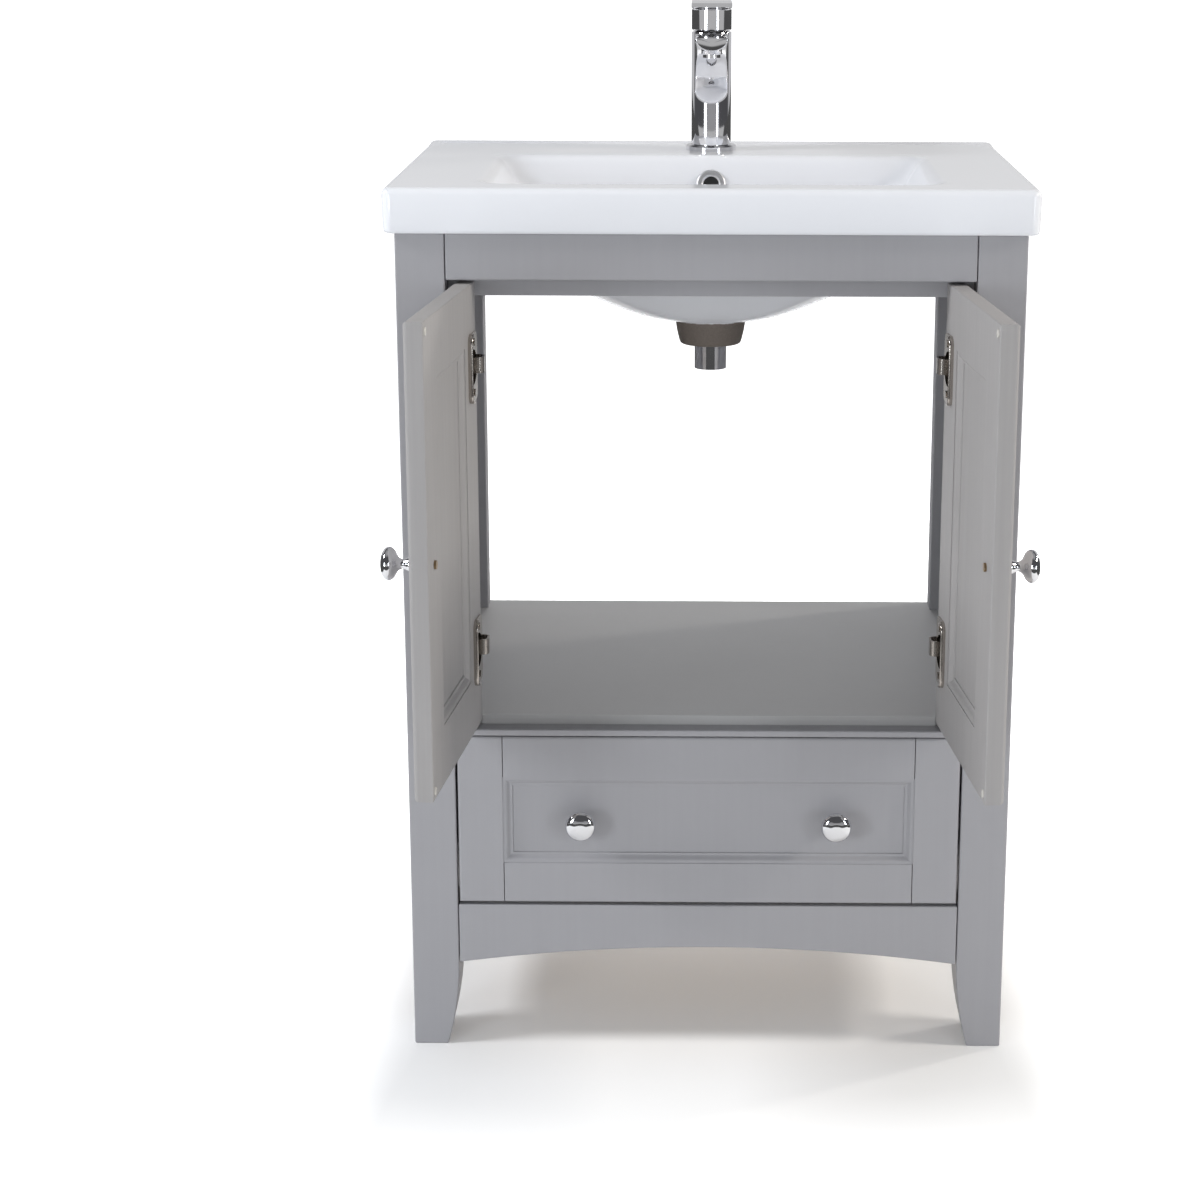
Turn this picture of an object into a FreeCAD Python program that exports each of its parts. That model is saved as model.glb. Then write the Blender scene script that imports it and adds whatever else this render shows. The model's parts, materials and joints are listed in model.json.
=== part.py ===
import FreeCAD, Part

import math
import os

import Sketcher

# Floor-standing bathroom vanity: a painted cabinet with two hinged doors over an open cupboard, one drawer
# below, a moulded basin top with a mixer tap, and a pop-up waste. Both doors stand open at rest.
# X runs to the right, Y back to the wall and Z up from the floor, in millimetres. The origin is under the
# middle of the box that holds the whole unit with its doors open.

SIZES = (
    # whole unit
    ("basin_width", "610"),
    ("basin_depth", "460"),
    ("worktop_height", "857"),
    ("basin_edge", "42.5"),
    ("front_overhang", "8"),
    ("side_overhang", "11"),
    ("back_overhang", "4"),
    # posts, boards and rails
    ("post_width", "46"),
    ("front_post_depth", "58"),
    ("rear_post_depth", "32"),
    ("foot_rise", "88"),
    ("foot_sweep", "316"),
    ("board_soft", "1.5"),
    ("side_thickness", "16"),
    ("side_recess", "6"),
    ("side_bottom", "100"),
    ("rail_thickness", "20"),
    ("top_rail_height", "43.5"),
    ("stop_thickness", "18"),
    ("stop_height", "40"),
    ("stop_drop", "18"),
    ("stop_setback", "4.5"),
    ("back_rail_thickness", "18"),
    ("back_rail_height", "99.5"),
    ("wall_hole_radius", "3"),
    ("wall_hole_spacing", "400"),
    ("wall_hole_drop", "50"),
    ("shelf_height", "341"),
    ("shelf_thickness", "16"),
    ("relief_width", "26"),
    ("relief_depth", "4.5"),
    ("nosing_drop", "9"),
    ("nosing_thickness", "6.5"),
    ("joint_line", "0.8"),
    ("apron_top", "149.6"),
    ("apron_rise", "17"),
    ("lower_back_thickness", "12"),
    ("block_size", "30"),
    ("block_height", "50"),
    # doors
    ("door_gap", "3"),
    ("door_end_gap", "3.5"),
    ("door_thickness", "18"),
    ("door_stile", "55"),
    ("door_open_angle", "95.6"),
    ("front_ease", "4"),
    ("back_ease", "1.5"),
    ("moulding_width", "9"),
    ("moulding_depth", "6.2"),
    ("moulding_lip", "1.5"),
    ("panel_quirk", "0.8"),
    # hinges
    ("pole_edge", "12.5"),
    ("pole_depth", "8.3"),
    ("hinge_inset", "78"),
    ("cup_edge", "21.5"),
    ("cup_radius", "17.5"),
    ("cup_depth", "12.8"),
    ("cup_wall", "0.8"),
    ("cup_play", "0.1"),
    ("flange_width", "38"),
    ("flange_height", "65"),
    ("flange_thickness", "1.5"),
    ("flange_round", "9"),
    ("cup_screw_spacing", "48"),
    ("lug_start", "8"),
    ("lug_height", "4"),
    ("lug_half", "2.2"),
    ("pin_radius", "1.25"),
    ("pin_length", "26"),
    ("pin_play", "0.05"),
    ("eye_radius", "2"),
    ("strap", "2"),
    ("arm_height", "15"),
    ("arm_reach", "19"),
    ("arm_throat", "18.2"),
    ("arm_bend", "6"),
    ("arm_foot", "24.5"),
    ("plate_thickness", "3"),
    ("plate_width", "28.5"),
    ("plate_height", "56"),
    ("plate_screw_spacing", "38"),
    ("screw_radius", "1.75"),
    ("screw_length", "14"),
    ("screw_head_radius", "3.5"),
    ("screw_head_height", "2"),
    ("screw_play", "0.1"),
    # knobs
    ("knob_height", "30"),
    ("knob_head_radius", "15"),
    ("knob_head_height", "15"),
    ("knob_edge", "5.5"),
    ("knob_neck_radius", "5"),
    ("knob_base_radius", "6.5"),
    ("knob_base_lip", "1"),
    ("knob_base_height", "3"),
    ("knob_bore_depth", "11"),
    ("knob_screw_radius", "2"),
    ("knob_screw_head_radius", "4"),
    ("knob_screw_head_height", "2.2"),
    ("knob_screw_spare", "0.5"),
    ("door_knob_inset", "27"),
    ("door_knob_drop", "3.5"),
    ("drawer_knob_spacing", "250"),
    # drawer
    ("drawer_side_gap", "2"),
    ("drawer_top_gap", "1"),
    ("drawer_bottom_gap", "2.9"),
    ("drawer_front_thickness", "18"),
    ("drawer_stile", "44"),
    ("drawer_rail", "41.5"),
    ("drawer_ease", "2.5"),
    ("box_board", "12"),
    ("box_back_gap", "28"),
    ("box_lift", "17.5"),
    ("box_height", "120"),
    ("box_bottom_lift", "6"),
    ("box_bottom_thickness", "6"),
    # runners, measured across from the post
    ("runner_width", "12.7"),
    ("runner_half", "22.5"),
    ("runner_sheet", "1.2"),
    ("runner_play", "0.3"),
    ("runner_gap", "0.5"),
    ("outer_flange", "8"),
    ("middle_flange", "10.5"),
    ("runner_back_gap", "14"),
    ("runner_setback", "4"),
    # basin
    ("basin_corner", "10"),
    ("basin_round", "7"),
    ("basin_under_round", "3"),
    ("basin_skirt", "14"),
    ("deck_thickness", "14"),
    ("ledge_height", "1.5"),
    ("ledge_sink", "4"),
    ("ledge_depth", "16"),
    ("ledge_inset", "2"),
    ("ledge_round", "1"),
    ("bowl_width", "430"),
    ("bowl_length", "265"),
    ("bowl_front", "46"),
    ("bowl_depth", "137"),
    ("drain_shift", "11.5"),
    # bowl levels from the rim down, inside and then underneath: depth, drawn in from the rim, corner radius
    ("rim_corner", "24"),
    ("shoulder_depth", "26.5"),
    ("shoulder_in_x", "17"),
    ("shoulder_in_y", "12.5"),
    ("shoulder_corner", "27.5"),
    ("wall_depth", "57"),
    ("wall_in_x", "30"),
    ("wall_in_y", "23.5"),
    ("wall_corner", "31"),
    ("turn_depth", "92"),
    ("turn_in_x", "62"),
    ("turn_in_y", "47.5"),
    ("turn_corner", "36"),
    ("low_depth", "118"),
    ("low_in_x", "110"),
    ("low_in_y", "76.5"),
    ("low_corner", "33.5"),
    ("floor_in_x", "150.5"),
    ("floor_in_y", "85"),
    ("floor_corner", "31"),
    ("under_rim_depth", "12"),
    ("under_rim_out_x", "21.5"),
    ("under_rim_out_y", "20"),
    ("under_rim_corner", "31"),
    ("under_wall_depth", "42.5"),
    ("under_wall_out_x", "10"),
    ("under_wall_out_y", "10.5"),
    ("under_wall_corner", "36"),
    ("under_turn_in_x", "42"),
    ("under_turn_in_y", "32.5"),
    ("under_turn_corner", "41"),
    ("under_low_depth", "122"),
    ("under_low_in_x", "97"),
    ("under_low_in_y", "61"),
    ("under_low_corner", "43"),
    ("under_floor", "12"),
    ("under_floor_in_x", "165"),
    ("under_floor_in_y", "87.5"),
    ("under_floor_corner", "31"),
    ("boss_top_radius", "35.5"),
    ("boss_radius", "30.5"),
    ("boss_bottom", "174"),
    ("boss_round", "2"),
    ("boss_recess_radius", "26"),
    ("boss_recess", "12"),
    ("overflow_drop", "28.6"),
    ("overflow_back", "121"),
    ("overflow_tilt", "17"),
    ("overflow_radius", "15"),
    ("overflow_hole", "9.35"),
    ("overflow_wall", "1.2"),
    ("overflow_sink", "2"),
    ("overflow_proud", "1.5"),
    ("overflow_bore", "14"),
    # waste
    ("waste_flange_radius", "29"),
    ("waste_flange", "3"),
    ("waste_barrel", "19"),
    ("waste_bore", "16.2"),
    ("waste_play", "0.2"),
    ("tail_radius", "15.875"),
    ("tail_wall", "1.2"),
    ("tail_step", "0.3"),
    ("tail_free", "25.5"),
    ("gasket_thickness", "3"),
    ("waste_nut_height", "7"),
    ("waste_nut_radius", "24"),
    ("waste_bar", "5"),
    ("waste_bar_half", "3.5"),
    ("stem_play", "0.05"),
    ("stem_radius", "2.2"),
    ("stem_length", "30"),
    ("cap_radius", "24"),
    ("cap_edge", "1.5"),
    ("cap_rise", "4"),
    ("cap_gap", "0.3"),
    # tap
    ("tap_back", "85"),
    ("tap_hole", "17.5"),
    ("tap_ring_radius", "26.5"),
    ("tap_ring_height", "6"),
    ("tap_ring_bevel", "1.8"),
    ("tap_radius", "20.75"),
    ("tap_play", "0.15"),
    ("tap_height", "122"),
    ("spout_reach", "110"),
    ("spout_width", "33.5"),
    ("spout_tip", "13"),
    ("spout_root_width", "34"),
    ("spout_belly", "12.4"),
    ("spout_drop", "1"),
    ("arch_reach", "84"),
    ("arch_top", "14.5"),
    ("arch_drop", "72"),
    ("outlet_radius", "10.5"),
    ("outlet_length", "9"),
    ("outlet_wall", "1.5"),
    ("outlet_rise", "5"),
    ("outlet_drop", "3.6"),
    ("aerator_wall", "3.1"),
    ("aerator_height", "8"),
    ("aerator_show", "3.2"),
    ("aerator_inset", "15"),
    ("cartridge_radius", "17.5"),
    ("cartridge_height", "39"),
    ("cartridge_nut", "4"),
    ("cartridge_nut_bore", "8"),
    ("spindle_radius", "5"),
    ("spindle_height", "12"),
    ("hub_gap", "1"),
    ("hub_height", "23"),
    ("hub_play", "0.05"),
    ("hub_round", "1.5"),
    ("lever_width", "41"),
    ("lever_reach", "108"),
    ("lever_round", "3.6"),
    ("lever_gap", "0.4"),
    ("lever_tip", "4"),
    ("lever_rise", "5"),
    ("lever_pin_back", "14"),
    ("lever_pin_radius", "1.6"),
    ("lever_pin_length", "34"),
    ("lever_lug", "16"),
    ("lever_lug_play", "0.4"),
    ("stud_radius", "4"),
    ("stud_back", "9"),
    ("stud_sunk", "15"),
    ("stud_length", "62"),
    ("washer_radius", "24"),
    ("washer_thickness", "3"),
    ("tap_nut_radius", "7.5"),
    ("tap_nut_height", "7"),
    ("inlet_radius", "4.5"),
    ("inlet_spread", "9"),
    ("inlet_forward", "4"),
    ("inlet_depth", "20"),
    ("inlet_way", "6"),
)

TOLERANCE = 1e-4
NUT_SIDES = 6
ARCH_STEPS = 6
ORIGIN = FreeCAD.Vector(0, 0, 0)
UP = FreeCAD.Vector(0, 0, 1)
TURNS = {
    "x": (FreeCAD.Vector(0, 1, 0), 90),
    "y": (FreeCAD.Vector(1, 0, 0), -90),
    "z": (UP, 0),
    "-x": (FreeCAD.Vector(0, 1, 0), -90),
    "-y": (FreeCAD.Vector(1, 0, 0), 90),
    "-z": (FreeCAD.Vector(1, 0, 0), 180),
}
SIDES = (("left", -1), ("right", 1))

doc = FreeCAD.newDocument("vanity_unit")
sheet = doc.addObject("Spreadsheet::Sheet", "Sizes")
nodes = []


class Size:
    """A length of the sheet: its formula in the sheet, its formula elsewhere and its value."""

    def __init__(self, cell, text, value):
        self.cell = cell
        self.text = text
        self.value = value

    def joined(self, sign, other, value):
        cell = f"({self.cell} {sign} {other.cell})"
        return Size(cell, f"({self.text} {sign} {other.text})", value)

    def __add__(self, other):
        other = as_size(other)
        return self.joined("+", other, self.value + other.value)

    def __sub__(self, other):
        other = as_size(other)
        return self.joined("-", other, self.value - other.value)

    def __mul__(self, other):
        other = as_size(other)
        return self.joined("*", other, self.value * other.value)

    def __truediv__(self, other):
        other = as_size(other)
        return self.joined("/", other, self.value / other.value)

    def __neg__(self):
        return as_size(0) - self


def as_size(number):
    """A plain ratio or count as a Size."""
    if isinstance(number, Size):
        return number
    return Size(str(number), str(number), number)


def sine(angle):
    """Sine of an angle of the sheet in degrees."""
    value = math.sin(math.radians(angle.value))
    return Size(f"sin({angle.cell} * 1 deg)", f"sin({angle.text} * 1 deg)", value)


def cosine(angle):
    """Cosine of an angle of the sheet in degrees."""
    value = math.cos(math.radians(angle.value))
    return Size(f"cos({angle.cell} * 1 deg)", f"cos({angle.text} * 1 deg)", value)


def root(square):
    """Square root of a size."""
    return Size(f"sqrt({square.cell})", f"sqrt({square.text})", math.sqrt(square.value))


class Sheet:
    """The driving and worked-out sizes by name."""

    def __init__(self):
        self.rows = 0

    def put(self, name, text, value):
        self.rows += 1
        sheet.set(f"A{self.rows}", text)
        sheet.setAlias(f"A{self.rows}", name)
        found = Size(name, f"Sizes.{name}", value)
        setattr(self, name, found)
        return found

    def keep(self, name, formula):
        return self.put(name, "=" + formula.cell, formula.value)


S = Sheet()
for alias, text in SIZES:
    S.put(alias, text, float(text))

ZERO = as_size(0)

# sizes that follow from the ones above
S.keep("cabinet_half", S.basin_width / 2 - S.side_overhang)
S.keep("opening_half", S.cabinet_half - S.post_width)
S.keep("cabinet_top", S.worktop_height - S.basin_edge)
S.keep("door_width", (S.opening_half * 2 - S.door_gap * 3) / 2)
S.keep("door_free", S.door_width - S.pole_edge)
S.keep("door_inner", S.door_thickness - S.pole_depth)
S.keep("pole_x", S.opening_half - S.door_gap - S.pole_edge)
S.keep(
    "door_front",
    S.front_overhang + S.pole_depth - (S.door_free - S.back_ease) * sine(S.door_open_angle)
    + (S.door_inner - S.back_ease) * cosine(S.door_open_angle) - S.back_ease,
)
S.keep("basin_front_y", -(S.door_front + S.basin_depth) / 2)
S.keep("front_y", S.basin_front_y + S.front_overhang)
S.keep("back_y", S.basin_front_y + S.basin_depth - S.back_overhang)
S.keep("pole_y", S.front_y + S.pole_depth)
S.keep("front_post_back", S.front_y + S.front_post_depth)
S.keep("rear_post_front", S.back_y - S.rear_post_depth)
S.keep("rail_back", S.front_y + S.rail_thickness)
S.keep("rail_bottom", S.cabinet_top - S.top_rail_height)
S.keep("side_outer", S.cabinet_half - S.side_recess)
S.keep("side_inner", S.side_outer - S.side_thickness)
S.keep("shelf_under", S.shelf_height - S.shelf_thickness)
S.keep("nosing_top", S.shelf_height - S.nosing_drop)
S.keep("nosing_under", S.nosing_top - S.nosing_thickness)
S.keep("door_bottom", S.nosing_top + S.door_end_gap)
S.keep("door_top", S.rail_bottom - S.door_end_gap)
S.keep("drawer_half", S.opening_half - S.drawer_side_gap)
S.keep("drawer_top", S.nosing_under - S.drawer_top_gap)
S.keep("drawer_bottom", S.apron_top + S.drawer_bottom_gap)
S.keep("drawer_back", S.front_y + S.drawer_front_thickness)
S.keep("box_outer", S.opening_half - S.runner_width)
S.keep("box_inner", S.box_outer - S.box_board)
S.keep("box_low", S.drawer_bottom + S.box_lift)
S.keep("box_high", S.box_low + S.box_height)
S.keep("box_end", S.back_y - S.lower_back_thickness - S.box_back_gap)
S.keep("runner_start", S.drawer_back + S.runner_setback)
S.keep("runner_end", S.back_y - S.lower_back_thickness - S.runner_back_gap)
S.keep("runner_z", S.box_low + S.box_height / 2)
S.keep("bowl_y", S.basin_front_y + S.bowl_front + S.bowl_length / 2)
S.keep("drain_y", S.bowl_y + S.drain_shift)
S.keep("bowl_bottom", S.worktop_height - S.bowl_depth)
S.keep("boss_under", S.worktop_height - S.boss_bottom)
S.keep("tail_bottom", S.boss_under - S.tail_free)
S.keep("deck_under", S.worktop_height - S.deck_thickness)
S.keep("tap_y", S.basin_front_y + S.basin_depth - S.tap_back)
S.keep("tap_top", S.worktop_height + S.tap_height)
S.keep("hub_bottom", S.tap_top + S.hub_gap)
S.keep("hub_top", S.hub_bottom + S.hub_height)
S.keep("lever_axis_z", S.hub_top + S.lever_gap + S.lever_round)
S.keep("lever_axis_y", S.tap_y + S.lever_pin_back)
doc.recompute()


def bind(item, where, size):
    """Ties a property of a document object to the sheet."""
    item.setExpression(where, as_size(size).text)


def place(item, base, axis="z", angle=None):
    """Puts a piece at a point, turned from Z to the named axis or about that axis by an angle."""
    turn, degrees = TURNS[axis]
    item.Placement = FreeCAD.Placement(ORIGIN, FreeCAD.Rotation(turn, degrees))
    for letter, size in zip("xyz", base):
        bind(item, f"Placement.Base.{letter}", size)
    if angle is not None:
        bind(item, "Placement.Rotation.Angle", angle)
    return item


def arc_between(start, end, radius, left):
    """The short arc from one corner to the next, as a counter-clockwise arc."""
    chord = end - start
    half = chord.Length / 2
    normal = FreeCAD.Vector(-chord.y, chord.x, 0).normalize()
    reach = math.sqrt(max(radius * radius - half * half, 0))
    centre = (start + end) * (1 / 2) + normal * (reach if left else -reach)
    first, last = (start, end) if left else (end, start)
    begin = math.atan2(first.y - centre.y, first.x - centre.x)
    finish = math.atan2(last.y - centre.y, last.x - centre.x)
    if finish < begin:
        finish += 2 * math.pi
    return Part.ArcOfCircle(Part.Circle(centre, UP, radius), begin, finish)


def draw(sketch, corners):
    """A closed outline through corners (x, y); a corner with a third entry starts an arc of that radius,
    which turns left, or right when the fourth entry is False."""
    points = [FreeCAD.Vector(as_size(c[0]).value, as_size(c[1]).value, 0) for c in corners]
    count = len(corners)
    starts = []
    ends = []
    for number, corner in enumerate(corners):
        start, end = points[number], points[(number + 1) % count]
        left = len(corner) < 4 or corner[3]
        if len(corner) > 2:
            sketch.addGeometry(arc_between(start, end, corner[2].value, left))
        else:
            sketch.addGeometry(Part.LineSegment(start, end))
        starts.append(1 if left else 2)
        ends.append(2 if left else 1)
    for number, corner in enumerate(corners):
        after = (number + 1) % count
        sketch.addConstraint(Sketcher.Constraint("Coincident", number, ends[number], after, starts[after]))
        spot = points[number]
        for kind, size, value in (("DistanceX", corner[0], spot.x), ("DistanceY", corner[1], spot.y)):
            index = sketch.addConstraint(Sketcher.Constraint(kind, number, starts[number], value))
            bind(sketch, f"Constraints[{index}]", size)
        if len(corner) > 2:
            index = sketch.addConstraint(Sketcher.Constraint("Radius", number, corner[2].value))
            bind(sketch, f"Constraints[{index}]", corner[2])


def rectangle(low, high):
    return [(low[0], low[1]), (high[0], low[1]), (high[0], high[1]), (low[0], high[1])]


def rounded(middle, width, depth, radius):
    """A rectangle about a middle point with round corners."""
    x0, x1 = middle[0] - width / 2, middle[0] + width / 2
    y0, y1 = middle[1] - depth / 2, middle[1] + depth / 2
    return [
        (x0 + radius, y0), (x1 - radius, y0, radius), (x1, y0 + radius), (x1, y1 - radius, radius),
        (x1 - radius, y1), (x0 + radius, y1, radius), (x0, y1 - radius), (x0, y0 + radius, radius),
    ]


def attach(body, plane, corners, offset):
    """A sketch on one of the body's own planes, moved along the plane's normal."""
    sketch = body.newObject("Sketcher::SketchObject", "Outline")
    support = [item for item in body.Origin.OriginFeatures if item.Role == plane]
    sketch.AttachmentSupport = [(support[0], "")]
    sketch.MapMode = "FlatFace"
    bind(sketch, "AttachmentOffset.Base.z", offset)
    draw(sketch, corners)
    return sketch


def prism(name, plane, corners, low, high):
    """A body with an outline carried from one level to another across its plane."""
    body = doc.addObject("PartDesign::Body", name)
    sketch = attach(body, plane, corners, -high if plane == "XZ_Plane" else low)
    pad = body.newObject("PartDesign::Pad", "Length")
    pad.Profile = sketch
    bind(pad, "Length", high - low)
    body.Tip = pad
    return body


def spin(name, corners, base, axis="z"):
    """A turned body: corners are (radius, height) about an axis that starts at the base point."""
    body = doc.addObject("PartDesign::Body", name)
    sketch = attach(body, "XZ_Plane", corners, ZERO)
    turned = body.newObject("PartDesign::Revolution", "Turned")
    turned.Profile = sketch
    turned.ReferenceAxis = (sketch, ["V_Axis"])
    turned.Angle = 360
    body.Tip = turned
    return place(body, base, axis)


def soften(body, radius, wanted=None):
    """Rounds the body's edges, or only those whose box passes the test."""
    doc.recompute()
    base = body.Tip
    edges = enumerate(base.Shape.Edges, 1)
    names = [f"Edge{number}" for number, edge in edges if wanted is None or wanted(edge.BoundBox)]
    fillet = body.newObject("PartDesign::Fillet", "Soft")
    fillet.Base = (base, names)
    bind(fillet, "Radius", radius)
    body.Tip = fillet
    return body


def lies_on(box, low, high):
    """The faces of a board, such as x- or z+, that an edge lies on."""
    found = set()
    spans = ((box.XMin, box.XMax), (box.YMin, box.YMax), (box.ZMin, box.ZMax))
    for letter, (near, far), first, last in zip("xyz", spans, low, high):
        if max(abs(near - first.value), abs(far - first.value)) < TOLERANCE:
            found.add(letter + "-")
        if max(abs(near - last.value), abs(far - last.value)) < TOLERANCE:
            found.add(letter + "+")
    return found


def board(name, low, high, soft=None, pairs=None):
    """A rectangular board, with all its edges softened or only those between the named pairs of faces."""
    body = prism(name, "XY_Plane", rectangle(low, high), low[2], high[2])
    if soft is None:
        return body
    return ease(body, low, high, soft, pairs)


def ease(body, low, high, soft, pairs=None):
    if pairs is None:
        return soften(body, soft)
    return soften(body, soft, lambda box: any(set(pair.split()) <= lies_on(box, low, high) for pair in pairs))


def box(name, low, high):
    """A plain block, used as a tool or joined to others."""
    item = doc.addObject("Part::Box", name)
    for word, first, last in zip(("Length", "Width", "Height"), low, high):
        bind(item, word, last - first)
    return place(item, low)


def drum(name, axis, base, radius, length):
    """A cylinder from a base point along an axis."""
    item = doc.addObject("Part::Cylinder", name)
    bind(item, "Radius", radius)
    bind(item, "Height", length)
    return place(item, base, axis)


def join(name, parts):
    item = doc.addObject("Part::MultiFuse", name)
    item.Shapes = parts
    return item


def cut(name, base, tools):
    """The base less all the tools."""
    item = doc.addObject("Part::Cut", name)
    item.Base = base
    item.Tool = tools[0] if len(tools) == 1 else join(name + "_tools", tools)
    return item


def group(name, parts):
    """Separate solids kept in one sub-part."""
    item = doc.addObject("Part::Compound", name)
    item.Links = parts
    return item


def loft(name, sections):
    """A smooth solid through outlines (height, corners) stacked along Z."""
    outlines = []
    for height, corners in sections:
        sketch = doc.addObject("Sketcher::SketchObject", "Section")
        draw(sketch, corners)
        outlines.append(place(sketch, (ZERO, ZERO, height)))
    item = doc.addObject("Part::Loft", name)
    item.Sections = outlines
    item.Solid = True
    item.Ruled = False
    return item


def node(label, item):
    """Registers a finished sub-part under its own label."""
    item.Label = label
    nodes.append(item)
    return item


def hang(item, side):
    """Places a piece drawn about the hinge pole, with its door shut, on the open door."""
    return place(item, (S.pole_x * side, S.pole_y, ZERO), "z", S.door_open_angle * side)


def across(side, near, far):
    """Low and high X of a span given by its distances from the middle plane, on one side."""
    return (near, far) if side > 0 else (-far, -near)


def inward(side, near, far):
    """Low and high X of a span given by its distances from the hinge pole towards the middle of the unit."""
    return across(-side, near, far)


def screw(name, base, axis, head_radius, head_height, radius, length):
    """A screw whose head rests at the base point and whose shank runs along the axis."""
    corners = [
        (ZERO, -head_height), (head_radius, -head_height), (head_radius, ZERO), (radius, ZERO),
        (radius, length), (ZERO, length),
    ]
    return spin(name, corners, base, axis)


def wood_screw(name, base, axis):
    return screw(name, base, axis, S.screw_head_radius, S.screw_head_height, S.screw_radius, S.screw_length)


def knob(name, base, axis):
    """A turned knob on a flared foot, bored for its screw: two shallow domes that meet in a round edge."""
    rise = S.knob_head_height / 2
    belt = S.knob_height - rise
    bore = S.knob_screw_radius + S.screw_play
    hollow = S.knob_head_radius - S.knob_edge
    dome = (hollow * hollow + rise * rise - S.knob_edge * S.knob_edge) / ((rise - S.knob_edge) * 2)
    share = dome / (dome - S.knob_edge)
    meet_radius = hollow * share
    meet_rise = (dome - rise) * (share - 1)
    under = belt + dome - rise - root(dome * dome - S.knob_neck_radius * S.knob_neck_radius)
    corners = [
        (bore, ZERO), (S.knob_base_radius, ZERO), (S.knob_base_radius, S.knob_base_lip),
        (S.knob_neck_radius, S.knob_base_height), (S.knob_neck_radius, under, dome),
        (meet_radius, belt - meet_rise, S.knob_edge), (meet_radius, belt + meet_rise, dome),
        (ZERO, S.knob_height), (ZERO, S.knob_bore_depth), (bore, S.knob_bore_depth),
    ]
    return spin(name, corners, base, axis)


def knob_screw(name, base, axis, grip):
    """The screw that comes through the board from behind and ends in the knob."""
    length = grip + S.knob_bore_depth - S.knob_screw_spare
    head = (S.knob_screw_head_radius, S.knob_screw_head_height)
    return screw(name, base, axis, *head, S.knob_screw_radius, length)


def moulded_panel(name, low, high, both):
    """A slab that fills a frame opening, and the tools that sink a moulding into its front or both faces."""
    lip = S.moulding_lip
    inset = lip + S.moulding_width
    front = low[1] + S.panel_quirk
    back = high[1] - S.panel_quirk if both else high[1]
    slab = box(name + "_slab", (low[0], front, low[2]), (high[0], back, high[2]))
    faces = [(front, low[1] + S.moulding_depth, lip, inset)]
    if both:
        faces.append((high[1] - S.moulding_depth, back, inset, lip))
    tools = []
    for start, end, first, last in faces:
        wedge = doc.addObject("Part::Wedge", name + "_field")
        bind(wedge, "Ymin", start)
        bind(wedge, "Ymax", end)
        for letter, near, far in (("X", low[0], high[0]), ("Z", low[2], high[2])):
            bind(wedge, f"{letter}min", near + first)
            bind(wedge, f"{letter}max", far - first)
            bind(wedge, f"{letter}2min", near + last)
            bind(wedge, f"{letter}2max", far - last)
        tools.append(wedge)
    return slab, tools


# cabinet
HINGES = (S.door_bottom + S.hinge_inset, S.door_top - S.hinge_inset)
PLATE_FRONT = S.pole_y + S.arm_throat - S.strap / 2
PLATE_SCREW_Y = PLATE_FRONT + S.plate_width / 2
PLATE_FACE = S.opening_half - S.plate_thickness
S.keep("foot_spread", S.foot_sweep - root(S.foot_sweep * S.foot_sweep - S.foot_rise * S.foot_rise))

for word, side in SIDES:
    outline = [
        (S.cabinet_half * side, ZERO), (S.cabinet_half * side, S.cabinet_top),
        (S.opening_half * side, S.cabinet_top), (S.opening_half * side, S.foot_rise, S.foot_sweep, side > 0),
        ((S.opening_half + S.foot_spread) * side, ZERO),
    ]
    post = prism(f"post_{word}", "XZ_Plane", outline, S.front_y, S.front_post_back)
    soften(post, S.board_soft)
    holes = []
    for level in HINGES:
        for step in (-1, 1):
            base = (S.opening_half * side, PLATE_SCREW_Y, level + S.plate_screw_spacing / 2 * step)
            heading = "x" if side > 0 else "-x"
            holes.append(drum("pilot", heading, base, S.screw_radius + S.screw_play, S.screw_length))
    node(f"front_post_{word}", cut(f"front_post_{word}", post, holes))
    rear = prism(f"rear_post_{word}", "XZ_Plane", outline, S.rear_post_front, S.back_y)
    node(f"rear_post_{word}", soften(rear, S.board_soft))
    low_x, high_x = across(side, S.side_inner, S.side_outer)
    low = (low_x, S.front_post_back, S.side_bottom)
    high = (high_x, S.rear_post_front, S.cabinet_top)
    node(f"side_panel_{word}", board("side", low, high, S.board_soft))

reveal = S.opening_half - S.joint_line
node(
    "top_front_rail",
    board("rail", (-reveal, S.front_y, S.rail_bottom), (reveal, S.rail_back, S.cabinet_top), S.board_soft),
)
stop_low = S.rail_bottom - S.stop_drop
stop_front = S.rail_back + S.stop_setback
node(
    "door_stop_rail",
    board(
        "stop", (-S.opening_half, stop_front, stop_low),
        (S.opening_half, stop_front + S.stop_thickness, stop_low + S.stop_height), S.board_soft,
    ),
)
back_rail = board(
    "back_rail", (-S.opening_half, S.back_y - S.back_rail_thickness, S.cabinet_top - S.back_rail_height),
    (S.opening_half, S.back_y, S.cabinet_top),
)
wall_holes = []
for step in (-1, 1):
    spread = S.wall_hole_spacing / 2 * step
    base = (spread, S.back_y - S.back_rail_thickness, S.cabinet_top - S.wall_hole_drop)
    wall_holes.append(drum("wall_hole", "y", base, S.wall_hole_radius, S.back_rail_thickness))
node("top_back_rail", cut("top_back_rail", back_rail, wall_holes))

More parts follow.
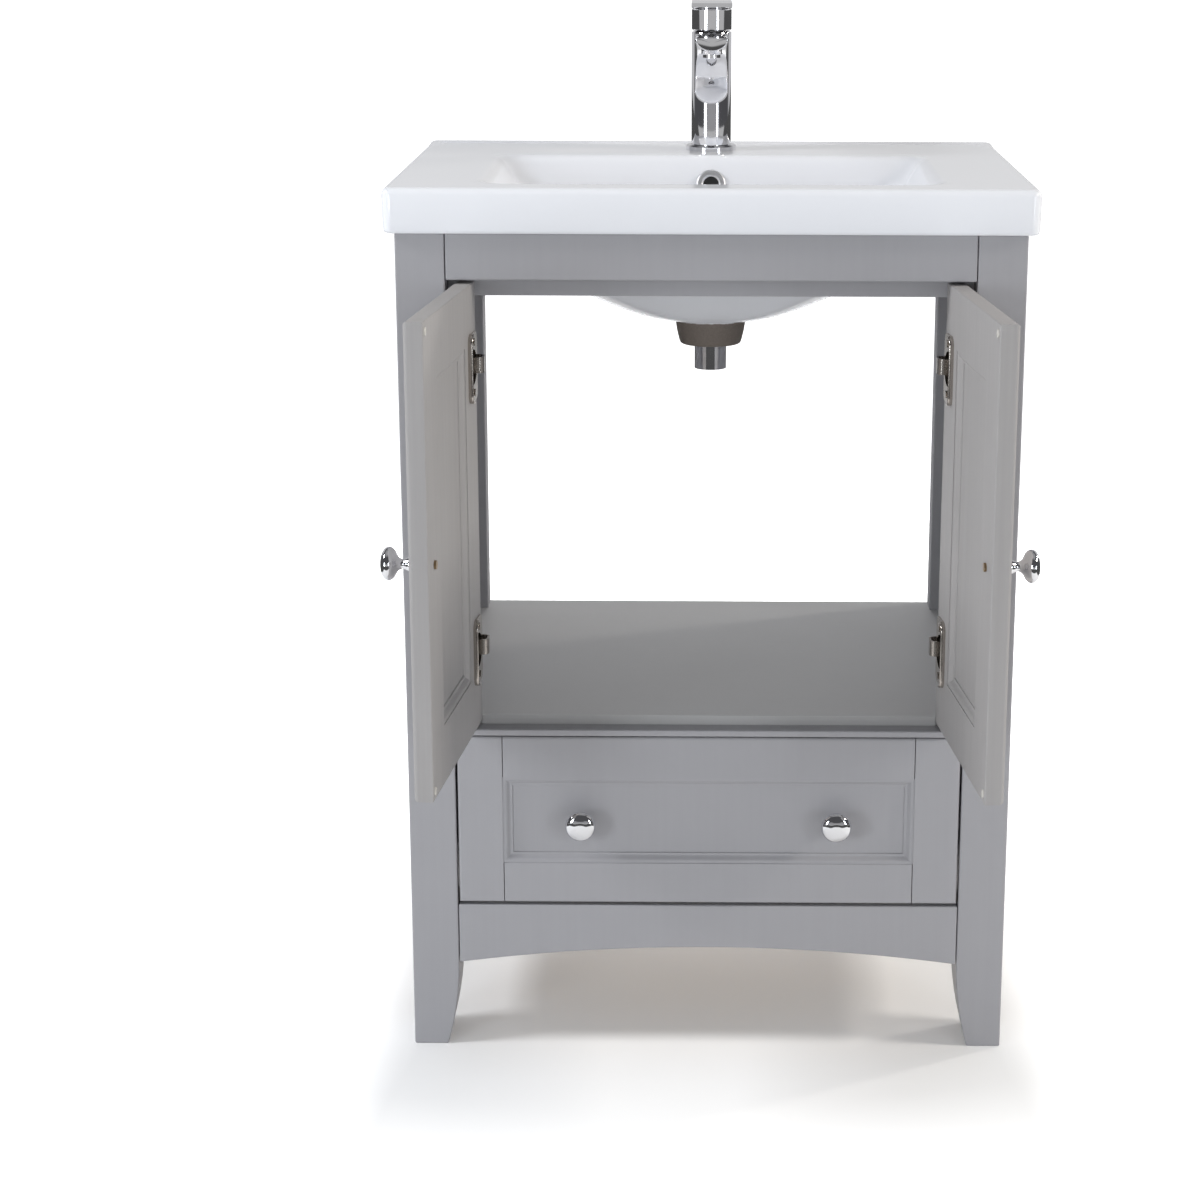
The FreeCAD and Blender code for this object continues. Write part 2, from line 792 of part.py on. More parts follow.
relief_x = S.opening_half - S.relief_width
relief_y = S.rail_back + S.relief_depth
shelf_corners = [
    (-S.opening_half, relief_y), (-relief_x, relief_y), (-relief_x, S.rail_back), (relief_x, S.rail_back),
    (relief_x, relief_y), (S.opening_half, relief_y), (S.opening_half, S.front_post_back),
    (S.side_inner, S.front_post_back), (S.side_inner, S.rear_post_front), (S.opening_half, S.rear_post_front),
    (S.opening_half, S.back_y), (-S.opening_half, S.back_y), (-S.opening_half, S.rear_post_front),
    (-S.side_inner, S.rear_post_front), (-S.side_inner, S.front_post_back),
    (-S.opening_half, S.front_post_back),
]
shelf = prism("shelf", "XY_Plane", shelf_corners, S.shelf_under, S.shelf_height)
node("shelf_board", shelf)
node(
    "door_sill",
    board("sill", (-reveal, S.front_y, S.nosing_under), (reveal, S.rail_back, S.nosing_top), S.board_soft),
)

S.keep("arch_sweep", (reveal * reveal + S.apron_rise * S.apron_rise) / (S.apron_rise * 2))
arch = [
    (reveal, S.apron_top), (-reveal, S.apron_top), (-reveal, S.foot_rise, S.arch_sweep, False),
    (reveal, S.foot_rise),
]
apron = prism("apron", "XZ_Plane", arch, S.front_y, S.rail_back)
node("arched_apron", soften(apron, S.board_soft))
node(
    "lower_back_panel",
    board(
        "lower_back", (-S.opening_half, S.back_y - S.lower_back_thickness, S.side_bottom),
        (S.opening_half, S.back_y, S.shelf_under),
    ),
)
blocks = []
block_low = S.apron_top - S.block_height
for word, side in SIDES:
    low, high = across(side, S.opening_half - S.block_size, S.opening_half)
    for start in (S.rail_back, S.back_y - S.lower_back_thickness - S.block_size):
        end = start + S.block_size
        blocks.append(box("block", (low, start, block_low), (high, end, S.apron_top)))
node("corner_blocks", group("corner_blocks", blocks))

# hinges: a cranked arm on a plate on the post, with a pin that runs in two lugs of the cup in the door
arms = []
plates = []
pins = []
plate_screws = []
half_strap = S.strap / 2
for word, side in SIDES:
    for level in HINGES:
        reach = S.arm_reach
        inner = reach - S.strap
        bend = S.arm_bend
        tight = S.arm_bend - S.strap
        low_v = -half_strap
        throat = S.arm_throat
        wall = S.pole_x - S.opening_half + S.plate_thickness
        run = [
            (ZERO, low_v), (reach - bend, low_v, bend, True), (reach, low_v + bend),
            (reach, throat + half_strap - bend, bend, True), (reach - bend, throat + half_strap),
            (wall + S.strap, throat + half_strap),
            (wall + S.strap, throat - half_strap + S.arm_foot), (wall, throat - half_strap + S.arm_foot),
            (wall, throat - half_strap), (inner - tight, throat - half_strap, tight, False),
            (inner, throat - half_strap - tight), (inner, half_strap + tight, tight, False),
            (inner - tight, half_strap), (ZERO, half_strap),
        ]
        corners = []
        for corner in run:
            spot = (S.pole_x * side + corner[0] * -side, S.pole_y + corner[1])
            if len(corner) > 2:
                spot = spot + (corner[2], corner[3] == (side < 0))
            corners.append(spot)
        strap = prism("strap", "XY_Plane", corners, level - S.arm_height / 2, level + S.arm_height / 2)
        foot = (S.pole_x * side, S.pole_y, level - S.arm_height / 2)
        eye = drum("eye", "z", foot, S.eye_radius, S.arm_height)
        bore = drum("eye_bore", "z", foot, S.pin_radius + S.pin_play, S.arm_height)
        arms.append(cut("arm", join("arm_whole", [strap, eye]), [bore]))
        pin_low = (S.pole_x * side, S.pole_y, level - S.pin_length / 2)
        pins.append(drum("pin", "z", pin_low, S.pin_radius, S.pin_length))
        low, high = across(side, PLATE_FACE, S.opening_half)
        plate = box(
            "plate", (low, PLATE_FRONT, level - S.plate_height / 2),
            (high, PLATE_FRONT + S.plate_width, level + S.plate_height / 2),
        )
        holes = []
        for step in (-1, 1):
            rise = level + S.plate_screw_spacing / 2 * step
            base = (PLATE_FACE * side, PLATE_SCREW_Y, rise)
            heading = "x" if side > 0 else "-x"
            holes.append(drum("plate_hole", heading, base, S.screw_radius + S.screw_play, S.plate_thickness))
            plate_screws.append(wood_screw("plate_screw", base, heading))
        plates.append(cut("hinge_plate", plate, holes))
node("hinge_arms", group("hinge_arms", arms))
node("hinge_plates", group("hinge_plates", plates))
node("hinge_pins", group("hinge_pins", pins))
node("hinge_plate_screws", group("hinge_plate_screws", plate_screws))

# doors, drawn shut about their hinge poles and then hung open
front = -S.pole_depth
back = S.door_inner
cup_middle = S.cup_edge - S.pole_edge
knob_place = S.door_free - S.door_knob_inset
knob_z = (S.door_bottom + S.door_top) / 2 - S.door_knob_drop
for word, side in SIDES:
    hinge_face, free_face = ("x-", "x+") if side < 0 else ("x+", "x-")
    stiles = []
    spans = (
        (-S.pole_edge, S.door_stile - S.pole_edge, hinge_face),
        (S.door_free - S.door_stile, S.door_free, free_face),
    )
    for near, far, face in spans:
        low_x, high_x = inward(side, near, far)
        low = (low_x, front, S.door_bottom)
        high = (high_x, back, S.door_top)
        stile = board("stile", low, high, S.front_ease, (f"y- {face}", "y- z-", "y- z+"))
        stiles.append(ease(stile, low, high, S.back_ease, (f"y+ {face}", "y+ z-", "y+ z+")))
    holes = []
    cups = []
    cup_screws = []
    for level in HINGES:
        middle = cup_middle * -side
        bottom = (middle, back - S.cup_depth, level)
        holes.append(drum("cup_hole", "y", bottom, S.cup_radius + S.cup_play, S.cup_depth))
        shell = drum("shell", "y", bottom, S.cup_radius, S.cup_depth)
        flange = prism(
            "flange", "XZ_Plane", rounded((middle, level), S.flange_width, S.flange_height, S.flange_round),
            back, back + S.flange_thickness,
        )
        floor = back - S.cup_depth + S.cup_wall
        cavity_depth = S.cup_depth + S.flange_thickness
        cavity = drum("cavity", "y", (middle, floor, level), S.cup_radius - S.cup_wall, cavity_depth)
        open_cup = cut("open_cup", join("cup_whole", [shell, flange]), [cavity])
        lugs = []
        for start in (level + S.lug_start, level - S.lug_start - S.lug_height):
            lug_high = (S.lug_half, S.lug_half, start + S.lug_height)
            lugs.append(box("lug", (-S.lug_half, floor, start), lug_high))
        pin_low = (ZERO, ZERO, level - S.pin_length / 2)
        bores = [drum("lug_bore", "z", pin_low, S.pin_radius + S.pin_play, S.pin_length)]
        for step in (-1, 1):
            rise = level + S.cup_screw_spacing / 2 * step
            base = (middle, back + S.flange_thickness, rise)
            clear = S.screw_radius + S.screw_play
            bores.append(drum("flange_hole", "-y", base, clear, S.flange_thickness))
            holes.append(drum("pilot", "-y", (middle, back, rise), clear, S.screw_length))
            cup_screws.append(wood_screw("cup_screw", base, "-y"))
        cups.append(cut("cup", join("cup_lugs", [open_cup] + lugs), bores))
    spot = (knob_place * -side, back, knob_z)
    passage = drum("knob_hole", "-y", spot, S.knob_screw_radius + S.screw_play, S.door_thickness)
    hinge_stile = cut("hinge_stile", stiles[0], holes)
    free_stile = cut("free_stile", stiles[1], [passage])
    node(f"door_{word}_stiles", hang(group(f"door_{word}_stiles", [hinge_stile, free_stile]), side))
    rails = []
    low_x, high_x = inward(side, S.door_stile - S.pole_edge, S.door_free - S.door_stile)
    for start, face in ((S.door_bottom, "z-"), (S.door_top - S.door_stile, "z+")):
        low = (low_x, front, start)
        high = (high_x, back, start + S.door_stile)
        rail = board("door_rail", low, high, S.front_ease, (f"y- {face}",))
        rails.append(ease(rail, low, high, S.back_ease, (f"y+ {face}",)))
    node(f"door_{word}_rails", hang(group(f"door_{word}_rails", rails), side))
    low = (low_x, front, S.door_bottom + S.door_stile)
    high = (high_x, back, S.door_top - S.door_stile)
    slab, fields = moulded_panel(f"door_{word}", low, high, True)
    node(f"door_{word}_panel", hang(cut(f"door_{word}_panel", slab, fields), side))
    face = (knob_place * -side, front, knob_z)
    node(f"door_{word}_knob", hang(group(f"door_{word}_knob", [knob("door_knob", face, "-y")]), side))
    fixing = knob_screw("door_knob_screw", spot, "-y", S.door_thickness)
    node(f"door_{word}_knob_screw", hang(group(f"door_{word}_knob_screw", [fixing]), side))
    node(f"door_{word}_hinge_cups", hang(group(f"door_{word}_hinge_cups", cups), side))
    node(f"door_{word}_cup_screws", hang(group(f"door_{word}_cup_screws", cup_screws), side))

# drawer
field_half = S.drawer_half - S.drawer_stile
field_low = S.drawer_bottom + S.drawer_rail
field_high = S.drawer_top - S.drawer_rail
stiles = []
for side, face in ((-1, "x-"), (1, "x+")):
    low_x, high_x = across(side, field_half, S.drawer_half)
    low = (low_x, S.front_y, S.drawer_bottom)
    high = (high_x, S.drawer_back, S.drawer_top)
    stiles.append(board("drawer_stile", low, high, S.drawer_ease, (f"y- {face}", "y- z-", "y- z+")))
node("drawer_front_stiles", group("drawer_front_stiles", stiles))
rails = []
for start, face in ((S.drawer_bottom, "z-"), (field_high, "z+")):
    low = (-field_half + S.joint_line, S.front_y, start)
    high = (field_half - S.joint_line, S.drawer_back, start + S.drawer_rail)
    rails.append(board("drawer_rail", low, high, S.drawer_ease, (f"y- {face}",)))
node("drawer_front_rails", group("drawer_front_rails", rails))
slab, fields = moulded_panel(
    "drawer", (-field_half, S.front_y, field_low), (field_half, S.drawer_back, field_high), False
)
board_back = S.drawer_back + S.box_board
drawer_knob_z = (field_low + field_high) / 2
knobs = []
fixings = []
knob_holes = []
face = S.front_y + S.moulding_depth
screw_clear = S.knob_screw_radius + S.screw_play
for step in (-1, 1):
    x = S.drawer_knob_spacing / 2 * step
    knobs.append(knob("drawer_knob", (x, face, drawer_knob_z), "-y"))
    spot = (x, board_back, drawer_knob_z)
    fixings.append(knob_screw("drawer_knob_screw", spot, "-y", board_back - face))
    knob_holes.append(drum("knob_hole", "-y", spot, screw_clear, board_back - S.front_y))
node("drawer_front_panel", cut("drawer_front_panel", slab, fields + knob_holes))
node("drawer_knobs", group("drawer_knobs", knobs))
node("drawer_knob_screws", group("drawer_knob_screws", fixings))
boards = []
for side in (-1, 1):
    low_x, high_x = across(side, S.box_inner, S.box_outer)
    boards.append(board("box_side", (low_x, S.drawer_back, S.box_low), (high_x, S.box_end, S.box_high)))
low = (-S.box_inner, S.drawer_back, S.box_low)
inner_front = board("box_front", low, (S.box_inner, board_back, S.box_high))
boards.append(cut("box_front_bored", inner_front, knob_holes))
low = (-S.box_inner, S.box_end - S.box_board, S.box_low)
boards.append(board("box_back", low, (S.box_inner, S.box_end, S.box_high)))
node("drawer_box_boards", group("drawer_box_boards", boards))
floor = S.box_low + S.box_bottom_lift
node(
    "drawer_bottom",
    board(
        "drawer_bottom", (-S.box_inner, board_back, floor),
        (S.box_inner, S.box_end - S.box_board, floor + S.box_bottom_thickness),
    ),
)


def channel(name, side, web, tip, half):
    """A C-shaped runner member: a web at one distance from the post and two flanges that reach to another."""
    step = 1 if tip.value > web.value else -1
    inner = half - S.runner_sheet
    inside = web + S.runner_sheet * step
    run = [
        (web, -half), (tip, -half), (tip, -inner), (inside, -inner),
        (inside, inner), (tip, inner), (tip, half), (web, half),
    ]
    corners = [((S.opening_half - spot[0]) * side, S.runner_z + spot[1]) for spot in run]
    return prism(name, "XZ_Plane", corners, S.runner_start, S.runner_end)


middle_half = S.runner_half - S.runner_sheet - S.runner_play
inner_half = middle_half - S.runner_sheet - S.runner_play
middle_web = S.runner_sheet + S.runner_gap
inner_tip = middle_web + S.runner_sheet + S.runner_gap
outers = []
middles = []
inners = []
for word, side in SIDES:
    outers.append(channel("outer_member", side, ZERO, S.outer_flange, S.runner_half))
    middles.append(channel("middle_member", side, middle_web, S.middle_flange, middle_half))
    inners.append(channel("inner_member", side, S.runner_width, inner_tip, inner_half))
node("runner_outer_members", group("runner_outer_members", outers))
node("runner_middle_members", group("runner_middle_members", middles))
node("runner_inner_members", group("runner_inner_members", inners))

# basin
rim_y = S.basin_front_y + S.basin_depth / 2
slab = prism(
    "basin_slab", "XY_Plane", rounded((ZERO, rim_y), S.basin_width, S.basin_depth, S.basin_corner),
    S.cabinet_top, S.worktop_height,
)
top_level = S.worktop_height.value
low_level = S.cabinet_top.value
soften(slab, S.basin_round, lambda b: abs(b.ZMin - top_level) < TOLERANCE)
soften(slab, S.basin_under_round, lambda b: abs(b.ZMax - low_level) < TOLERANCE)
ledge_back = S.basin_front_y + S.basin_depth - S.ledge_inset
ledge_front = ledge_back - S.ledge_depth
ledge_half = S.basin_width / 2 - S.ledge_inset
ledge_turn = S.basin_corner - S.ledge_inset
ledge_corners = [
    (-ledge_half, ledge_front), (ledge_half, ledge_front), (ledge_half, ledge_back - ledge_turn, ledge_turn),
    (ledge_half - ledge_turn, ledge_back), (-ledge_half + ledge_turn, ledge_back, ledge_turn),
    (-ledge_half, ledge_back - ledge_turn),
]
ledge_top = S.worktop_height + S.ledge_height
ledge = prism("ledge", "XY_Plane", ledge_corners, S.worktop_height - S.ledge_sink, ledge_top)
soften(ledge, S.ledge_round, lambda b: abs(b.ZMin - ledge_top.value) < TOLERANCE)
hollow = box(
    "hollow",
    (-S.basin_width / 2 + S.basin_skirt, S.basin_front_y + S.basin_skirt, S.cabinet_top - S.basin_skirt),
    (S.basin_width / 2 - S.basin_skirt, S.basin_front_y + S.basin_depth - S.basin_skirt, S.deck_under),
)

# bowl levels: depth below the top, drawn in from the rim across and lengthwise, corner radius
INNER = (
    (ZERO, ZERO, ZERO, S.rim_corner),
    (S.shoulder_depth, S.shoulder_in_x, S.shoulder_in_y, S.shoulder_corner),
    (S.wall_depth, S.wall_in_x, S.wall_in_y, S.wall_corner),
    (S.turn_depth, S.turn_in_x, S.turn_in_y, S.turn_corner),
    (S.low_depth, S.low_in_x, S.low_in_y, S.low_corner),
    (S.bowl_depth, S.floor_in_x, S.floor_in_y, S.floor_corner),
)
OUTER = (
    (S.under_rim_depth, -S.under_rim_out_x, -S.under_rim_out_y, S.under_rim_corner),
    (S.under_wall_depth, -S.under_wall_out_x, -S.under_wall_out_y, S.under_wall_corner),
    (S.turn_depth, S.under_turn_in_x, S.under_turn_in_y, S.under_turn_corner),
    (S.under_low_depth, S.under_low_in_x, S.under_low_in_y, S.under_low_corner),
    (S.bowl_depth + S.under_floor, S.under_floor_in_x, S.under_floor_in_y, S.under_floor_corner),
)


def bowl_sections(table):
    """The bowl's outlines, which move back to the drain with depth."""
    sections = []
    for depth, in_x, in_y, corner in table:
        middle = (ZERO, S.bowl_y + S.drain_shift * depth / S.bowl_depth)
        corners = rounded(middle, S.bowl_width - in_x * 2, S.bowl_length - in_y * 2, corner)
        sections.append((S.worktop_height - depth, corners))
    return sections


outside = loft("bowl_outside", bowl_sections(OUTER))
inside = loft("bowl_inside", bowl_sections(INNER))
boss = spin(
    "boss",
    [
        (ZERO, S.boss_bottom - S.bowl_depth), (S.boss_top_radius, S.boss_bottom - S.bowl_depth),
        (S.boss_radius, S.boss_round), (S.boss_radius - S.boss_round, ZERO), (ZERO, ZERO),
    ],
    (ZERO, S.drain_y, S.boss_under),
)
drain = (ZERO, S.drain_y, S.boss_under)
bore = drum("drain_bore", "z", drain, S.waste_barrel + S.waste_play, S.boss_bottom)
recess = drum("boss_recess", "z", drain, S.boss_recess_radius, S.boss_recess)
tap_hole = drum("tap_hole", "z", (ZERO, S.tap_y, S.deck_under), S.tap_hole, S.deck_thickness)
ring_seat = (ZERO, S.bowl_y + S.overflow_back, S.worktop_height - S.overflow_drop)
lean = as_size(90) - S.overflow_tilt
spot_face = drum("spot_face", "z", ring_seat, S.overflow_radius + S.waste_play, S.basin_skirt)
place(spot_face, ring_seat, "-y", lean)
passage_end = (
    ZERO, ring_seat[1] + S.overflow_bore * cosine(S.overflow_tilt),
    ring_seat[2] - S.overflow_bore * sine(S.overflow_tilt),
)
passage = drum("overflow_passage", "z", passage_end, S.overflow_hole, S.overflow_bore * 2)
place(passage, passage_end, "-y", lean)
shell = join("basin_shell", [cut("basin_rim", slab, [hollow]), outside, boss, ledge])
bowl = cut("basin_cut", shell, [inside, bore, recess, tap_hole, spot_face, passage])
node("basin", bowl)
ring_inner = S.overflow_hole - S.overflow_wall
ring = [
    (ring_inner, -S.overflow_bore / 2), (S.overflow_hole - S.waste_play, -S.overflow_bore / 2),
    (S.overflow_hole - S.waste_play, ZERO), (S.overflow_radius, ZERO), (S.overflow_radius, S.overflow_sink),
    (S.overflow_radius - S.overflow_proud, S.overflow_sink + S.overflow_proud),
    (ring_inner + S.overflow_proud, S.overflow_sink + S.overflow_proud), (ring_inner, S.overflow_sink),
]
node("overflow_ring", place(spin("overflow_ring", ring, ring_seat), ring_seat, "-y", lean))

# waste: flanged body in the bowl, nut and gasket in the recess under it, tail pipe and pop-up stopper
waste_low = S.boss_under + S.boss_recess - S.gasket_thickness - S.waste_nut_height
barrel_length = S.bowl_bottom - waste_low
body_corners = [
    (S.waste_bore, -barrel_length), (S.waste_barrel, -barrel_length), (S.waste_barrel, ZERO),
    (S.waste_flange_radius, ZERO), (S.waste_flange_radius, S.waste_flange / 2),
    (S.waste_flange_radius - S.waste_flange / 2, S.waste_flange),
    (S.waste_bore, S.waste_flange),
]
seat = (ZERO, S.drain_y, S.bowl_bottom)
bar_top = S.bowl_bottom - S.waste_bar
bar = box(
    "cross_bar", (-S.waste_bore - S.tail_wall, S.drain_y - S.waste_bar_half, bar_top - S.waste_bar),
    (S.waste_bore + S.tail_wall, S.drain_y + S.waste_bar_half, bar_top),
)
guide = drum("guide", "z", (ZERO, S.drain_y, bar_top - S.waste_bar), S.stem_radius + S.stem_play, S.waste_bar)
turned = spin("waste_turned", body_corners, seat)
node("waste_body", cut("waste_body", join("waste_whole", [turned, bar]), [guide]))
tail_top = bar_top - S.waste_bar
tail_height = tail_top - S.tail_bottom
tube = [
    (S.tail_radius - S.tail_wall, ZERO), (S.tail_radius, ZERO), (S.tail_radius, S.tail_free),
    (S.tail_radius - S.tail_step, S.tail_free), (S.tail_radius - S.tail_step, tail_height),
    (S.tail_radius - S.tail_wall, tail_height),
]
node("waste_tailpiece", spin("waste_tailpiece", tube, (ZERO, S.drain_y, S.tail_bottom)))
gasket_low = S.boss_under + S.boss_recess - S.gasket_thickness
gasket = [
    (S.waste_barrel + S.waste_play, ZERO), (S.waste_nut_radius, ZERO),
    (S.waste_nut_radius, S.gasket_thickness), (S.waste_barrel + S.waste_play, S.gasket_thickness),
]
node("waste_gasket", spin("waste_gasket", gasket, (ZERO, S.drain_y, gasket_low)))


def nut(name, middle, radius, bore_radius, height):
    """A six-sided nut about a vertical thread, standing on the point given."""
    corners = []
    for step in range(NUT_SIDES):
        angle = as_size(360 * step / NUT_SIDES)
        corners.append((middle[0] + radius * cosine(angle), middle[1] + radius * sine(angle)))
    blank = prism(name + "_blank", "XY_Plane", corners, middle[2], middle[2] + height)
    return cut(name, blank, [drum(name + "_thread", "z", middle, bore_radius, height)])


nut_seat = (ZERO, S.drain_y, waste_low)
thread = S.waste_barrel + S.waste_play
node("waste_nut", nut("waste_nut", nut_seat, S.waste_nut_radius, thread, S.waste_nut_height))
cap_low = S.waste_flange + S.cap_gap
cap_dome = (S.cap_radius * S.cap_radius + S.cap_rise * S.cap_rise) / (S.cap_rise * 2)
stopper = [
    (ZERO, cap_low - S.stem_length), (S.stem_radius, cap_low - S.stem_length), (S.stem_radius, cap_low),
    (S.cap_radius, cap_low), (S.cap_radius, cap_low + S.cap_edge, cap_dome),
    (ZERO, cap_low + S.cap_edge + S.cap_rise),
]
node("waste_stopper", spin("waste_stopper", stopper, seat))

# tap
foot = (ZERO, S.tap_y, S.worktop_height)
ring = [
    (S.tap_radius + S.tap_play, ZERO), (S.tap_ring_radius, ZERO),
    (S.tap_ring_radius, S.tap_ring_height - S.tap_ring_bevel),
    (S.tap_ring_radius - S.tap_ring_bevel, S.tap_ring_height), (S.tap_radius + S.tap_play, S.tap_ring_height),
]
node("tap_base_ring", spin("tap_base_ring", ring, foot))
column = drum("tap_column", "z", foot, S.tap_radius, S.tap_height)


def spout_section(width, height):
    """A spout section: flat on top, upright sides, an arc below."""
    sweep = (width * width / 4 + S.spout_belly * S.spout_belly) / (S.spout_belly * 2)
    side = S.spout_belly - height
    return [(-width / 2, ZERO), (-width / 2, side, sweep), (width / 2, side), (width / 2, ZERO)]


# the underside of the spout sweeps down to the column in a quarter oval
arch = [(ZERO, S.spout_root_width, S.arch_drop)]
for step in range(ARCH_STEPS, -1, -1):
    angle = as_size(90 * step / ARCH_STEPS)
    reach = S.arch_reach - (S.arch_reach - S.tap_radius) * sine(angle)
    height = S.arch_drop - (S.arch_drop - S.arch_top) * cosine(angle)
    arch.append((reach, S.spout_root_width, height))
spout = doc.addObject("Part::Loft", "spout")
sections = []
for reach, width, height in arch + [(S.spout_reach, S.spout_width, S.spout_tip)]:
    sketch = doc.addObject("Sketcher::SketchObject", "SpoutSection")
    draw(sketch, spout_section(width, height))
    sections.append(place(sketch, (ZERO, S.tap_y - reach, S.tap_top - S.spout_drop), "-y"))
spout.Sections = sections
spout.Solid = True
spout.Ruled = True
outlet_y = S.tap_y - S.spout_reach + S.aerator_inset
sleeve_low = (ZERO, outlet_y, S.tap_top - S.spout_drop - S.spout_tip - S.outlet_drop)
outlet = (ZERO, outlet_y, sleeve_low[2] - S.aerator_show)
sleeve = drum("outlet_sleeve", "z", sleeve_low, S.outlet_radius, S.outlet_length)
way = S.outlet_radius - S.outlet_wall
aerator_bore = drum("outlet_bore", "z", outlet, way, S.aerator_height + S.outlet_rise)
cavity_depth = S.cartridge_height + S.cartridge_nut
seat_z = S.tap_top - cavity_depth
cavity = drum("cavity", "z", (ZERO, S.tap_y, seat_z), S.cartridge_radius, cavity_depth)
stud_spot = (ZERO, S.tap_y + S.stud_back, S.worktop_height + S.stud_sunk - S.stud_length)
stud_hole = drum(
    "stud_hole", "z", (ZERO, S.tap_y + S.stud_back, S.worktop_height), S.stud_radius + S.tap_play, S.stud_sunk
)
inlets = []
washer_holes = [drum("washer_hole", "z", stud_spot, S.stud_radius + S.tap_play, S.stud_length)]
for step in (-1, 1):
    x = S.inlet_spread * step
    y = S.tap_y - S.inlet_forward
    inlets.append(drum("inlet", "z", (x, y, S.worktop_height), S.inlet_radius, S.inlet_depth))
    washer_holes.append(drum("inlet_way", "z", (x, y, S.cabinet_top), S.inlet_way, S.basin_edge))
tools = [cavity, stud_hole, aerator_bore] + inlets
node("tap_body", cut("tap_body", join("tap_whole", [column, spout, sleeve]), tools))
snug = way - S.screw_play
aerator = [
    (snug - S.aerator_wall, ZERO), (snug, ZERO), (snug, S.aerator_height),
    (snug - S.aerator_wall, S.aerator_height),
]
node("tap_aerator", spin("tap_aerator", aerator, outlet))
spindle = S.cartridge_height + S.cartridge_nut + S.hub_gap + S.spindle_height
core = S.cartridge_radius - S.tap_play
node(
    "tap_cartridge",
    spin(
        "tap_cartridge",
        [
            (ZERO, ZERO), (core, ZERO), (core, S.cartridge_height), (S.spindle_radius, S.cartridge_height),
            (S.spindle_radius, spindle), (ZERO, spindle),
        ],
        (ZERO, S.tap_y, seat_z),
    ),
)
node(
    "tap_cartridge_nut",
    spin(
        "tap_cartridge_nut",
        [
            (S.cartridge_nut_bore, ZERO), (core, ZERO), (core, S.cartridge_nut),
            (S.cartridge_nut_bore, S.cartridge_nut),
        ],
        (ZERO, S.tap_y, seat_z + S.cartridge_height),
    ),
)
node("tap_stud", drum("tap_stud", "z", stud_spot, S.stud_radius, S.stud_length))
washer_low = S.deck_under - S.washer_thickness
washer = drum("washer", "z", (ZERO, S.tap_y, washer_low), S.washer_radius, S.washer_thickness)
node("tap_washer", cut("tap_washer", washer, washer_holes))
nut_seat = (ZERO, S.tap_y + S.stud_back, washer_low - S.tap_nut_height)
node("tap_nut", nut("tap_nut", nut_seat, S.tap_nut_radius, S.stud_radius + S.tap_play, S.tap_nut_height))

# tap control: the hub turns on the spindle, and the lever lifts about the pin in the hub's lug
hub_corners = [
    (S.spindle_radius + S.hub_play, ZERO), (S.tap_radius - S.hub_round, ZERO), (S.tap_radius, S.hub_round),
    (S.tap_radius, S.hub_height - S.hub_round), (S.tap_radius - S.hub_round, S.hub_height),
    (ZERO, S.hub_height), (ZERO, S.spindle_height + S.hub_gap),
    (S.spindle_radius + S.hub_play, S.spindle_height + S.hub_gap),
]
hub = spin("hub", hub_corners, (ZERO, S.tap_y, S.hub_bottom))
half_lug = S.lever_lug / 2
lug = box(
    "lug", (-half_lug, S.lever_axis_y - S.lever_round, S.hub_top - S.hub_round * 2),
    (half_lug, S.lever_axis_y + S.lever_round, S.lever_axis_z),
)
crown = drum("lug_crown", "x", (-half_lug, S.lever_axis_y, S.lever_axis_z), S.lever_round, S.lever_lug)
pin_spot = (-S.lever_pin_length / 2, S.lever_axis_y, S.lever_axis_z)
pin_bore = drum("lug_bore", "x", pin_spot, S.lever_pin_radius + S.hub_play, S.lever_pin_length)
node("tap_hub", cut("tap_hub", join("hub_whole", [hub, lug, crown]), [pin_bore]))
node("tap_lever_pin", drum("tap_lever_pin", "x", pin_spot, S.lever_pin_radius, S.lever_pin_length))
lever_low = S.lever_axis_z - S.lever_round
lever_high = S.lever_axis_z + S.lever_round
tip_y = S.tap_y - S.lever_reach
side_view = [
    (tip_y, lever_low + S.lever_rise), (S.tap_y - S.tap_radius, lever_low),
    (S.lever_axis_y, lever_low, S.lever_round),
    (S.lever_axis_y + S.lever_round, S.lever_axis_z, S.lever_round),
    (S.lever_axis_y, lever_high), (tip_y, lever_low + S.lever_rise + S.lever_tip),
]
blade = prism("blade", "YZ_Plane", side_view, -S.lever_width / 2, S.lever_width / 2)
notch_half = half_lug + S.lever_lug_play
notch = box(
    "notch", (-notch_half, S.lever_axis_y - S.lever_round - S.lever_lug_play, lever_low - S.lever_round),
    (notch_half, S.lever_axis_y + S.lever_round * 2, lever_high + S.lever_round),
)
lever_bore = drum("lever_bore", "x", pin_spot, S.lever_pin_radius + S.hub_play, S.lever_pin_length)
node("tap_lever", cut("tap_lever", blade, [notch, lever_bore]))

doc.recompute()
faults = []
for item in doc.Objects:
    if "Invalid" in item.State or "Error" in item.State:
        faults.append(f"{item.Name} ({item.Label}): {item.State}")
for item in nodes:
    shape = item.Shape
    if shape.isNull() or not shape.isValid() or not shape.Solids:
        faults.append(f"{item.Label}: no valid solid")
if faults:
    raise RuntimeError("; ".join(faults))
os.makedirs("parts", exist_ok=True)
for item in nodes:
    item.Shape.exportStep(f"parts/{item.Label}.step")
print(len(nodes), "sub-parts written")
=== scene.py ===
import json
import math

import bmesh
import bpy
import numpy as np
from mathutils import Matrix, Vector


